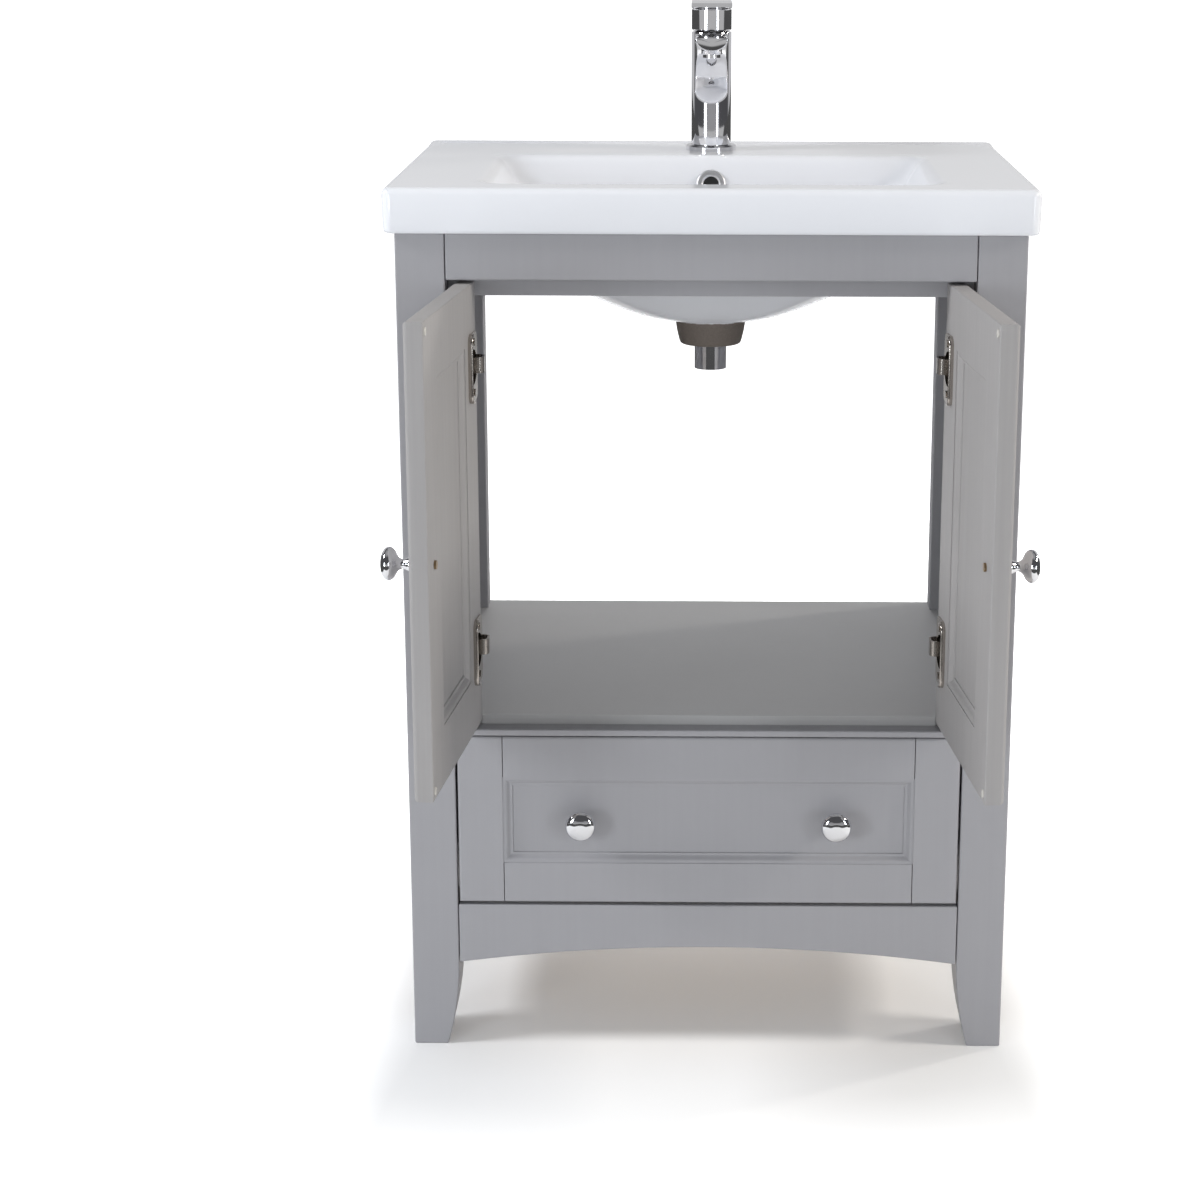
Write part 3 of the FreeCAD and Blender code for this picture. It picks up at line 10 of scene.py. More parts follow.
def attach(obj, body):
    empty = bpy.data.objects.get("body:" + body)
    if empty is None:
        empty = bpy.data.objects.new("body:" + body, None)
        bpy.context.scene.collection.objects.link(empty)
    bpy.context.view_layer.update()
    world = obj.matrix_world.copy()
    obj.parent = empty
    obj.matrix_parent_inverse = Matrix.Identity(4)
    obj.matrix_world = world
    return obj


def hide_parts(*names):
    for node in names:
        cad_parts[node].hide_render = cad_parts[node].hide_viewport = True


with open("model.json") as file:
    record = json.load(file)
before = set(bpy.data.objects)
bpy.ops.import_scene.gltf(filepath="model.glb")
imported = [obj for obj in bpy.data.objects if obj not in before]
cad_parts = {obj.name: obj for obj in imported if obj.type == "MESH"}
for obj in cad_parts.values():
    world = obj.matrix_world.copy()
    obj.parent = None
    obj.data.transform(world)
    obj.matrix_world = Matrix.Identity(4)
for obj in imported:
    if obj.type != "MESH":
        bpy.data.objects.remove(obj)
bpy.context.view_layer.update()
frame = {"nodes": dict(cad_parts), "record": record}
NODES = frame["nodes"]
SIDES = (("left", -1), ("right", 1))

# Distances are in metres in the model's frame: X right, Y back, Z up from the floor.
MM = 0.001
BASIN_FRONT = -0.1227976
FRONT = BASIN_FRONT + 8 * MM
TOP = 857 * MM

# doors, drawn shut about their hinge pole: distances from the pole, then heights
POLE = np.array([232.5 * MM, FRONT + 8.3 * MM, 0.0])
DOOR_ANGLE = math.radians(95.6)
DOOR_FACE = -8.3 * MM
DOOR_INNER = 9.7 * MM
DOOR_FREE = 231.0 * MM
DOOR_LOW = 335.5 * MM
DOOR_HIGH = 767.5 * MM
DOOR_FIELD = (42.5 * MM, 176.0 * MM, 390.5 * MM, 712.5 * MM)
DOOR_KNOB = (204.0 * MM, 548.0 * MM)
HINGE_LEVELS = (413.5 * MM, 689.5 * MM)
BUMPER_INSET = (7 * MM, 9 * MM)

# drawer front: half width and heights of its moulded field
DRAWER_FIELD = (202.0 * MM, 194.0 * MM, 283.0 * MM)
DRAWER_BACK = FRONT + 18 * MM
DRAWER_KNOB = (125.0 * MM, 238.5 * MM)
FIELD_DEPTH = 6.2 * MM

# basin
HALF_WIDTH = 305 * MM
HALF_DEPTH = 230 * MM
SLAB_Y = BASIN_FRONT + HALF_DEPTH
BOWL_HALF = (215 * MM, 132.5 * MM)
BOWL_Y = BASIN_FRONT + 178.5 * MM
DRAIN_SHIFT = 11.5 * MM
BOWL_DEPTH = 137 * MM
DRAIN_Y = BOWL_Y + DRAIN_SHIFT

# points nearer than this are one point, and edges shorter than this are dropped
MERGE_DISTANCE = 2e-6
SHORT_EDGE = 1e-7


# Surfaces
def grid_faces(rows, cols, wrap_rows=False, wrap_cols=False):
    """Four corner numbers for each cell of a grid of points; either direction can close on itself."""
    row = np.arange(rows if wrap_rows else rows - 1)[:, None]
    col = np.arange(cols if wrap_cols else cols - 1)[None, :]
    below, beside = (row + 1) % rows, (col + 1) % cols
    cells = [row * cols + col, row * cols + beside, below * cols + beside, below * cols + col]
    return np.stack(np.broadcast_arrays(*cells), axis=-1).reshape(-1, 4)


def turned(profile, base, along, across, steps=72):
    """A turned form: the profile point (radius r, height h) goes to base + h along + r (cos a across + sin a side),
    for angles a all the way round."""
    profile = np.asarray(profile, float)
    along, across = np.asarray(along, float), np.asarray(across, float)
    angle = np.linspace(0, 2 * math.pi, steps, endpoint=False)[:, None]
    spoke = np.cos(angle) * across + np.sin(angle) * np.cross(along, across)
    points = np.asarray(base, float) + profile[:, 1, None, None] * along + profile[:, 0, None, None] * spoke[None]
    return points.reshape(-1, 3), grid_faces(len(profile), steps, wrap_cols=True)


def arc(middle, radius, start, end, count):
    """Points on a circle about a middle point between two angles in degrees."""
    angle = np.radians(np.linspace(start, end, count))
    return np.stack([middle[0] + radius * np.cos(angle), middle[1] + radius * np.sin(angle)], axis=1)


def smooth_run(keys, count):
    """A smooth curve through key rows: between two rows each column follows the cubic whose slopes at both ends are
    half the step between the neighbouring rows."""
    keys = np.asarray(keys, float)
    padded = np.concatenate([2 * keys[:1] - keys[1:2], keys, 2 * keys[-1:] - keys[-2:-1]])
    t = np.linspace(0, 1, count, endpoint=False)[None, :, None]
    a, b, c, d = (padded[i:len(padded) - 3 + i, None, :] for i in range(4))
    run = 0.5 * (2 * b + (c - a) * t + (2 * a - 5 * b + 4 * c - d) * t ** 2 + (3 * b - a - 3 * c + d) * t ** 3)
    return np.concatenate([run.reshape(-1, keys.shape[1]), keys[-1:]])


def piece(name, parts, body, finish, stands_for=(), sharp=40.0):
    """One object from grids of points: joined, doubled points merged, faces turned outwards, shaded smooth except at
    edges sharper than an angle in degrees."""
    first = np.cumsum([0] + [len(points) for points, faces in parts[:-1]])
    points = np.concatenate([part[0] for part in parts])
    faces = np.concatenate([part[1] + start for part, start in zip(parts, first)])
    mesh = bpy.data.meshes.new(name)
    mesh.from_pydata(points.tolist(), [], faces.tolist())
    made = bmesh.new()
    made.from_mesh(mesh)
    bmesh.ops.remove_doubles(made, verts=made.verts, dist=MERGE_DISTANCE)
    bmesh.ops.dissolve_degenerate(made, edges=made.edges, dist=SHORT_EDGE)
    bmesh.ops.recalc_face_normals(made, faces=made.faces)
    made.to_mesh(mesh)
    made.free()
    mesh.shade_smooth()
    mesh.set_sharp_from_angle(angle=math.radians(sharp))
    item = bpy.data.objects.new(name, mesh)
    mesh.materials.append(finish)
    bpy.context.scene.collection.objects.link(item)
    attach(item, body)
    if stands_for:
        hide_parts(*stands_for)


def hung(points, side):
    """Carries points drawn with the door shut to the open door: turned about Z by the opening angle, then moved to
    the hinge pole."""
    turn = DOOR_ANGLE * side
    spin = np.array([[math.cos(turn), -math.sin(turn), 0], [math.sin(turn), math.cos(turn), 0], [0, 0, 1]])
    return points @ spin.T + POLE * np.array([side, 1, 1])


# Nodes
def feed(tree, node, sources):
    """Sets a node's inputs, by index or name, to plain values, or links them to outputs of other nodes."""
    for key, source in sources.items():
        if hasattr(source, "is_output"):
            tree.links.new(source, node.inputs[key])
        else:
            node.inputs[key].default_value = source


def add(tree, kind, sources=None, **settings):
    """A new node with its settings made and its inputs fed."""
    node = tree.nodes.new(kind)
    for key, value in settings.items():
        setattr(node, key, value)
    feed(tree, node, sources or {})
    return node


def calc(tree, operation, *values):
    """The result of one sum on values or outputs."""
    return add(tree, "ShaderNodeMath", dict(enumerate(values)), operation=operation).outputs[0]


def remap(tree, value, given, wanted, **settings):
    """A value carried from one range to another and held at both ends."""
    sources = {"From Min": given[0], "From Max": given[1], "To Min": wanted[0], "To Max": wanted[1], "Value": value}
    return add(tree, "ShaderNodeMapRange", sources, **settings).outputs[0]


def blend(tree, share, first, second):
    """Two colours mixed by a share."""
    return add(tree, "ShaderNodeMix", {0: share, 6: first, 7: second}, data_type="RGBA").outputs[2]


def scaled(tree, colour, factor):
    """A colour times a factor."""
    return add(tree, "ShaderNodeVectorMath", {0: colour, "Scale": factor}, operation="SCALE").outputs[0]


def noise(tree, place, scale, detail, rough=0.5, distortion=0.0):
    """Smooth noise about one half."""
    sources = {"Vector": place, "Scale": scale, "Detail": detail, "Roughness": rough, "Distortion": distortion}
    return add(tree, "ShaderNodeTexNoise", sources).outputs["Fac"]


def bump(tree, height, strength, distance):
    """A normal tilted by a height."""
    return add(tree, "ShaderNodeBump", {"Strength": strength, "Distance": distance, "Height": height}).outputs[0]


def object_place(tree):
    """The place on the object."""
    return add(tree, "ShaderNodeTexCoord").outputs["Object"]


# Shared node groups
def new_group(name, inputs):
    """An empty node group with the given inputs, putting out a colour, a roughness and a normal."""
    group = bpy.data.node_groups.new(name, "ShaderNodeTree")
    for label, kind, value in inputs:
        group.interface.new_socket(label, in_out="INPUT", socket_type=kind).default_value = value
    for label, kind in (("Colour", "Color"), ("Roughness", "Float"), ("Normal", "Vector")):
        group.interface.new_socket(label, in_out="OUTPUT", socket_type=f"NodeSocket{kind}")
    return group, group.nodes.new("NodeGroupInput").outputs, group.nodes.new("NodeGroupOutput")


def satin_paint_group():
    """Sprayed paint: soft mottling of the colour, faint upright streaks, uneven sheen and orange peel."""
    group, given, result = new_group(
        "SatinPaint",
        [
            ("Colour", "NodeSocketColor", (0.3, 0.3, 0.3, 1)), ("Streaks", "NodeSocketFloat", 0.1),
            ("Sheen", "NodeSocketFloat", 0.42),
        ],
    )
    place = object_place(group)
    upright = add(group, "ShaderNodeMapping", {"Vector": place, "Scale": (150.0, 150.0, 4.0)}).outputs[0]
    mottle = remap(group, noise(group, place, 7.0, 3.0, 0.55), (0.25, 0.75), (-0.012, 0.012))
    streak = calc(group, "SUBTRACT", noise(group, upright, 1.0, 4.0, 0.6), 0.5)
    streak = calc(group, "MULTIPLY", streak, given["Streaks"])
    tone = calc(group, "ADD", calc(group, "ADD", mottle, streak), 1.0)
    uneven = remap(group, noise(group, place, 28.0, 5.0, 0.65), (0.3, 0.7), (-0.02, 0.02))
    peel = noise(group, place, 900.0, 2.0)
    feed(group, result, {
        "Colour": scaled(group, given["Colour"], tone),
        "Roughness": calc(group, "ADD", uneven, given["Sheen"]),
        "Normal": bump(group, peel, 0.05, 0.0004),
    })
    return group


def metal_group():
    """Plated metal: a colour with faint clouding, wiped smudges in the gloss and brushing along one axis."""
    group, given, result = new_group(
        "PlatedMetal",
        [
            ("Colour", "NodeSocketColor", (0.8, 0.8, 0.8, 1)), ("Gloss", "NodeSocketFloat", 0.06),
            ("Smudge", "NodeSocketFloat", 0.05), ("Brushing", "NodeSocketFloat", 0.0),
            ("Grain", "NodeSocketVector", (600.0, 600.0, 20.0)),
        ],
    )
    place = object_place(group)
    fine = add(group, "ShaderNodeVectorMath", {0: place, 1: given["Grain"]}, operation="MULTIPLY").outputs[0]
    cloud = noise(group, place, 60.0, 4.0, 0.6)
    hair = noise(group, fine, 1.0, 3.0)
    tone = remap(group, cloud, (0.3, 0.7), (0.96, 1.02))
    wiped = calc(group, "MULTIPLY", cloud, given["Smudge"])
    brushed = calc(group, "MULTIPLY", hair, given["Brushing"])
    rough = calc(group, "ADD", calc(group, "ADD", wiped, brushed), given["Gloss"])
    feed(group, result, {
        "Colour": scaled(group, given["Colour"], tone),
        "Roughness": rough,
        "Normal": bump(group, hair, given["Brushing"], 0.0002),
    })
    return group


PAINT = satin_paint_group()
METAL = metal_group()


# Materials
def blank(name):
    """A material with only a Principled shader: the material, its tree and the shader."""
    material = bpy.data.materials.new(name)
    material.use_nodes = True
    tree = material.node_tree
    tree.nodes.clear()
    shader = tree.nodes.new("ShaderNodeBsdfPrincipled")
    output = tree.nodes.new("ShaderNodeOutputMaterial")
    tree.links.new(shader.outputs[0], output.inputs["Surface"])
    return material, tree, shader


def grouped(name, group, inputs, shader_values):
    """A material whose colour, roughness and normal come from a shared group."""
    material, tree, shader = blank(name)
    looks = add(tree, "ShaderNodeGroup", inputs, node_tree=group).outputs
    feed(tree, shader, {"Base Color": looks["Colour"], "Roughness": looks["Roughness"], "Normal": looks["Normal"]})
    feed(tree, shader, shader_values)
    return material


def paint(name, colour, streaks, sheen, shine=0.5):
    """A sprayed paint: its colour, upright streaks, roughness and strength of reflection."""
    inputs = {"Colour": colour, "Streaks": streaks, "Sheen": sheen}
    return grouped(name, PAINT, inputs, {"Specular IOR Level": shine})


def plated(name, colour, gloss, smudge, brushing, grain=(600.0, 600.0, 20.0)):
    """A plated metal: its colour, roughness, smudges and brushing, and how fine the brushing is along each axis."""
    inputs = {"Colour": colour, "Gloss": gloss, "Smudge": smudge, "Brushing": brushing, "Grain": grain}
    return grouped(name, METAL, inputs, {"Metallic": 1.0})


# bare clay lies below these two heights, with an edge this ragged
CLAY_EDGE = (0.7065, 0.7078)
CLAY_RAGGED = 0.0012


def ceramic():
    """White glaze with a faint cast; bare taupe clay on the waste boss."""
    material, tree, shader = blank("GlazedBasin")
    place = object_place(tree)
    height = add(tree, "ShaderNodeSeparateXYZ", {0: place}).outputs["Z"]
    grit = noise(tree, place, 420.0, 4.0, 0.7)
    ragged = remap(tree, noise(tree, place, 60.0, 3.0), (0.3, 0.7), (-CLAY_RAGGED, CLAY_RAGGED))
    bare = remap(tree, calc(tree, "ADD", height, ragged), CLAY_EDGE, (1.0, 0.0))
    white = blend(tree, noise(tree, place, 5.0, 2.0), (0.775, 0.785, 0.815, 1), (0.805, 0.815, 0.845, 1))
    clay = blend(tree, grit, (0.15, 0.125, 0.105, 1), (0.24, 0.205, 0.18, 1))
    feed(tree, shader, {
        "Base Color": blend(tree, bare, white, clay),
        "Roughness": remap(tree, bare, (0.0, 1.0), (0.12, 0.8)),
        "Normal": bump(tree, calc(tree, "MULTIPLY", bare, grit), 0.3, 0.0005),
    })
    return material


def plain_wood():
    """Birch for the unseen drawer box: grain drawn out along the board."""
    material, tree, shader = blank("PlainBirch")
    drawn_out = add(tree, "ShaderNodeMapping", {"Vector": object_place(tree), "Scale": (40.0, 2.5, 40.0)}).outputs[0]
    grain = noise(tree, drawn_out, 1.0, 6.0, 0.6, 0.6)
    feed(tree, shader, {
        "Base Color": blend(tree, grain, (0.42, 0.29, 0.17, 1), (0.66, 0.50, 0.33, 1)),
        "Roughness": remap(tree, grain, (0.0, 1.0), (0.45, 0.65)),
        "Normal": bump(tree, grain, 0.12, 0.0005),
    })
    return material


def speckled(name, low, high, rough, scale):
    """A moulded material: two near tones in fine grain."""
    material, tree, shader = blank(name)
    grain = noise(tree, object_place(tree), scale, 4.0)
    colour = blend(tree, grain, low, high)
    feed(tree, shader, {"Base Color": colour, "Roughness": rough, "Normal": bump(tree, grain, 0.1, 0.0003)})
    return material


GREY = paint("GreyPaint", (0.338, 0.334, 0.350, 1), streaks=0.06, sheen=0.42)
# the shelf's grey is paler than the same paint elsewhere: painted light standing in for the light that reaches the
# shelf
SHELF_PAINTED_LIGHT_GREY = paint("ShelfPaintPaintedLight", (0.436, 0.432, 0.428, 1), streaks=0.03, sheen=0.45)
# the doors' grey is the same paint made a little warmer: painted warm light standing in for the warm light on the
# doors' inner faces; it is also rougher and reflects less
DOOR_WARM_PAINTED_LIGHT_GREY = paint("DoorPaintWarmPaintedLight", (0.348, 0.336, 0.332, 1), streaks=0.15, sheen=0.62, shine=0.22)
MATT_GREY = paint("MattPaint", (0.338, 0.334, 0.345, 1), streaks=0.06, sheen=0.80, shine=0.05)
CHROME = plated("Chrome", (0.80, 0.80, 0.82, 1), gloss=0.02, smudge=0.05, brushing=0.0)
RING_CHROME = plated("RingChrome", (0.93, 0.93, 0.94, 1), gloss=0.42, smudge=0.05, brushing=0.0)
NICKEL = plated("Nickel", (0.50, 0.46, 0.42, 1), gloss=0.10, smudge=0.1, brushing=0.12, grain=(900.0, 900.0, 30.0))
ZINC = plated("ZincSteel", (0.5, 0.5, 0.52, 1), gloss=0.26, smudge=0.14, brushing=0.1, grain=(900.0, 20.0, 900.0))
BRONZE = plated("BronzeScrew", (0.34, 0.24, 0.14, 1), gloss=0.3, smudge=0.2, brushing=0.1)
GLAZE = ceramic()
BIRCH = plain_wood()
RUBBER = speckled("BlackRubber", (0.01, 0.01, 0.01, 1), (0.03, 0.03, 0.03, 1), rough=0.75, scale=500.0)
PLASTIC = speckled("WhitePlastic", (0.68, 0.68, 0.66, 1), (0.76, 0.76, 0.74, 1), rough=0.45, scale=300.0)
BUMPER = speckled("ClearBumper", (0.50, 0.48, 0.44, 1), (0.60, 0.58, 0.54, 1), rough=0.25, scale=400.0)
# near-black material painted as the shade inside the overflow hole
PAINTED_SHADE_HOLE = speckled("PaintedShadeHole", (0.008, 0.008, 0.008, 1), (0.02, 0.02, 0.02, 1), rough=0.6, scale=300.0)

# what each kind of solid wears, and the few solids with a finish of their own; the shelf's paler grey among them is
# painted light
FINISH = {
    "painted_wood": GREY, "plain_wood": BIRCH, "glazed_basin": GLAZE, "chrome_fittings": CHROME,
    "nickel_hinges": NICKEL, "runner_steel": ZINC, "brass_screws": BRONZE, "black_rubber": RUBBER,
    "white_plastic": PLASTIC,
}
OWN_FINISH_OR_PAINTED_LIGHT = {
    "shelf_board": SHELF_PAINTED_LIGHT_GREY, "overflow_ring": RING_CHROME, "rear_post_left": MATT_GREY, "rear_post_right": MATT_GREY,
    "side_panel_left": MATT_GREY, "side_panel_right": MATT_GREY,
}
SLOT_OF = {entry["node"]: entry["material_slot"] for entry in frame["record"]["subparts"]}
for name, slot_name in SLOT_OF.items():
    # door solids take the warmer grey, which is painted warm light
    of_door = slot_name == "painted_wood" and name.startswith(("door_left", "door_right"))
    chosen = DOOR_WARM_PAINTED_LIGHT_GREY if of_door else OWN_FINISH_OR_PAINTED_LIGHT.get(name, FINISH[slot_name])
    for slot in NODES[name].material_slots:
        slot.material = chosen


# Knobs
def knob_profile():
    """Radius and height of the turned knob: a flared foot, a waist that swells into the back of the head along a
    smooth curve, a round edge and a shallow front dome."""
    foot = [(0.0, 0.0), (6.2, 0.0), (6.5, 0.4), (6.5, 1.2)]
    waist = smooth_run([(6.5, 1.2), (6.2, 4.4), (5.2, 7.0), (4.3, 9.6), (4.8, 12.0), (6.6, 14.6), (9.4, 16.4)], 6)
    back = smooth_run([(9.4, 16.4), (12.2, 18.0), (14.2, 20.1), (15.0, 22.4), (14.7, 24.6), (13.2, 26.8)], 6)
    front = smooth_run([(13.2, 26.8), (11.2, 28.0), (8.6, 28.9), (5.0, 29.7), (0.0, 30.0)], 6)
    return np.concatenate([foot, waist, back, front]) * MM


def knob(x, y, z):
    """A knob on a face that looks forwards."""
    return turned(knob_profile(), (x, y, z), (0, -1, 0), (1, 0, 0))


for word, side in SIDES:
    points, faces = knob(DOOR_KNOB[0] * -side, DOOR_FACE, DOOR_KNOB[1])
    piece(
        f"Door{word.title()}Knob", [(hung(points, side), faces)], f"door_{word}", CHROME,
        [f"door_{word}_knob"], sharp=60,
    )
drawer_knobs = [knob(DRAWER_KNOB[0] * side, FRONT + FIELD_DEPTH, DRAWER_KNOB[1]) for word, side in SIDES]
piece("DrawerKnobs", drawer_knobs, "drawer", CHROME, ["drawer_knobs"], sharp=60)


# Moulded panels: widths and depths across the moulding in mm
LIP_WIDTH, LIP_DEPTH = 1.5, 0.8
SLOPE_WIDTH, SLOPE_DEPTH = 7.2, 3.9
STEP = [(9.3, 4.75), (9.5, 5.0), (9.7, 5.8), (10.0, 6.1), (10.5, 6.2)]


def moulding(depth):
    """Inset and depth across the moulding from the frame inwards: a narrow lip, an S-shaped slope whose depth goes as
    t - sin(2 pi t) / (2 pi), and a small step down to the field."""
    t = np.linspace(0, 1, 15)
    fall = t - np.sin(2 * math.pi * t) / (2 * math.pi)
    slope = np.stack([LIP_WIDTH + SLOPE_WIDTH * t, LIP_DEPTH + SLOPE_DEPTH * fall], axis=1)
    run = np.concatenate([[(0.0, LIP_DEPTH), (LIP_WIDTH, LIP_DEPTH)], slope[1:], STEP]) * MM
    run[:, 1] *= depth / run[-1, 1]
    return run


def framed(low, high, rows):
    """Four corners of a rectangle in X and Z for each row (inset, y): the rectangle drawn in by the inset, at y."""
    inset = rows[:, :1]
    xs = np.concatenate([low[0] + inset, high[0] - inset, high[0] - inset, low[0] + inset], axis=1)
    zs = np.concatenate([low[1] + inset, low[1] + inset, high[1] - inset, high[1] - inset], axis=1)
    ys = np.repeat(rows[:, 1:], 4, axis=1)
    points = np.stack([xs, ys, zs], axis=-1).reshape(-1, 3)
    last = 4 * len(rows)
    ends = np.array([[0, 1, 2, 3], [last - 1, last - 2, last - 3, last - 4]])
    return points, np.concatenate([grid_faces(len(rows), 4, wrap_cols=True), ends])


# radius and height of a door bumper in mm
BUMPER_DOME = [(0.0, 0.0), (4.0, 0.0), (4.0, 0.5), (3.6, 1.1), (2.6, 1.45), (1.2, 1.6), (0.0, 1.6)]

run = moulding(FIELD_DEPTH)
for word, side in SIDES:
    front_rows = np.stack([run[::-1, 0], DOOR_FACE + run[::-1, 1]], axis=1)
    back_rows = np.stack([run[:, 0], DOOR_INNER - run[:, 1]], axis=1)
    near, far = sorted((DOOR_FIELD[0] * -side, DOOR_FIELD[1] * -side))
    points, faces = framed((near, DOOR_FIELD[2]), (far, DOOR_FIELD[3]), np.concatenate([front_rows, back_rows]))
    piece(
        f"Door{word.title()}Panel", [(hung(points, side), faces)], f"door_{word}", DOOR_WARM_PAINTED_LIGHT_GREY,
        [f"door_{word}_panel"], sharp=22,
    )
    pads = []
    for level in (DOOR_LOW + BUMPER_INSET[1], DOOR_HIGH - BUMPER_INSET[1]):
        seat = ((DOOR_FREE - BUMPER_INSET[0]) * -side, DOOR_INNER, level)
        points, faces = turned(np.array(BUMPER_DOME) * MM, seat, (0, 1, 0), (1, 0, 0), 24)
        pads.append((hung(points, side), faces))
    piece(f"Door{word.title()}Bumpers", pads, f"door_{word}", BUMPER, sharp=60)

# Hinge rims, in mm: the bar's half width, the height of its sides and the height of its round top above them, the
# corner of its path (middle and radius), and how low its two ends are
RIM_HALF, RIM_SIDE, RIM_ROUND = 1.3, 2.6, 2.0
RIM_CORNER, RIM_RADIUS = (18.9, 23.4), 8.2
RIM_END = 0.35


def rim_bar(level, side):
    """The raised rim of a hinge cup: a bar of half-oval section carried along a path with two round corners, lower at
    its two ends."""
    upper = np.concatenate([[(14.5, 31.6), (16.5, 31.6)], arc(RIM_CORNER, RIM_RADIUS, 90, 0, 9), [(27.1, 8.0)]])
    path = np.concatenate([upper, upper[::-1] * (1, -1)]) * MM
    along = np.gradient(path, axis=0)
    along /= np.linalg.norm(along, axis=1, keepdims=True)
    away = np.stack([-along[:, 1], along[:, 0]], axis=1)
    t = np.linspace(0, math.pi, 11)
    section = np.stack([-RIM_HALF * np.cos(t), RIM_SIDE + RIM_ROUND * np.sin(t)], axis=1)
    section = np.concatenate([[(-RIM_HALF, 0.0)], section, [(RIM_HALF, 0.0)]]) * MM
    tall = np.interp(np.arange(len(path)), [0, 2, len(path) - 3, len(path) - 1], [RIM_END, 1, 1, RIM_END])
    flat = path[:, None, :] + away[:, None, :] * section[None, :, :1]
    height = DOOR_INNER + tall[:, None] * section[None, :, 1]
    points = np.stack([flat[..., 0] * -side, height, flat[..., 1] + level], axis=-1).reshape(-1, 3)
    return hung(points, side), grid_faces(len(path), len(section), wrap_cols=True)


for word, side in SIDES:
    bars = [rim_bar(level, side) for level in HINGE_LEVELS]
    piece(f"Door{word.title()}HingeRims", bars, f"door_{word}", NICKEL, sharp=50)

# Drawer panel
rows = np.concatenate([np.stack([run[::-1, 0], FRONT + run[::-1, 1]], axis=1), [(0.0, DRAWER_BACK)]])
panel = framed((-DRAWER_FIELD[0], DRAWER_FIELD[1]), (DRAWER_FIELD[0], DRAWER_FIELD[2]), rows)
piece("DrawerPanel", [panel], "drawer", GREY, ["drawer_front_panel"], sharp=22)


# Basin
def rings(table, bend=9, straight=14):
    """Closed outlines, one for each row (half width, half depth, middle y, corner radius, height): rectangles with
    round corners, whose corner points are the corner's centre + radius (cos, sin) and whose sides are divided
    evenly."""
    half_x, half_y, middle, corner, height = (table[:, i, None, None] for i in range(5))
    sign_x = np.array([1, 1, -1, -1])[None, :, None]
    sign_y = np.array([-1, 1, 1, -1])[None, :, None]
    angle = np.radians(np.linspace(-90, 0, bend)[None, None, :] + 90 * np.arange(4)[None, :, None])
    x = sign_x * (half_x - corner) + corner * np.cos(angle)
    y = middle + sign_y * (half_y - corner) + corner * np.sin(angle)
    share = (np.arange(straight) + 1) / (straight + 1)
    next_x, next_y = np.roll(x, -1, axis=1)[:, :, :1], np.roll(y, -1, axis=1)[:, :, :1]
    side_x = x[:, :, -1:] + (next_x - x[:, :, -1:]) * share
    side_y = y[:, :, -1:] + (next_y - y[:, :, -1:]) * share
    outline = np.stack([np.concatenate([x, side_x], axis=2), np.concatenate([y, side_y], axis=2)], axis=-1)
    outline = outline.reshape(len(table), -1, 2)
    heights = np.broadcast_to(height[:, :, 0:1], outline.shape[:2] + (1,))
    return np.concatenate([outline, heights], axis=2)


def bowl_row(depth, in_x, in_y, corner):
    """One bowl outline: drawn in from the rim, at a depth, moved back towards the drain with depth."""
    return (BOWL_HALF[0] - in_x * MM, BOWL_HALF[1] - in_y * MM, BOWL_Y + DRAIN_SHIFT * depth * MM / BOWL_DEPTH,
            corner * MM, TOP - depth * MM)


def slab_row(inset, depth):
    """One outline of the top slab: drawn in from its edge, at a depth below the top."""
    corner = max(10.0 - inset, 1.5)
    return (HALF_WIDTH - inset * MM, HALF_DEPTH - inset * MM, SLAB_Y, corner * MM, TOP - depth * MM)


def round_row(radius, depth):
    """One circle about the drain at a depth below the top."""
    return (radius * MM, radius * MM, DRAIN_Y, radius * MM, TOP - depth * MM)


# radii of the slab's top and bottom edges in mm, and where the lower one starts: inset and depth
BROW, HEEL = 7, 3.9
HEEL_START = (1.0, 38.6)


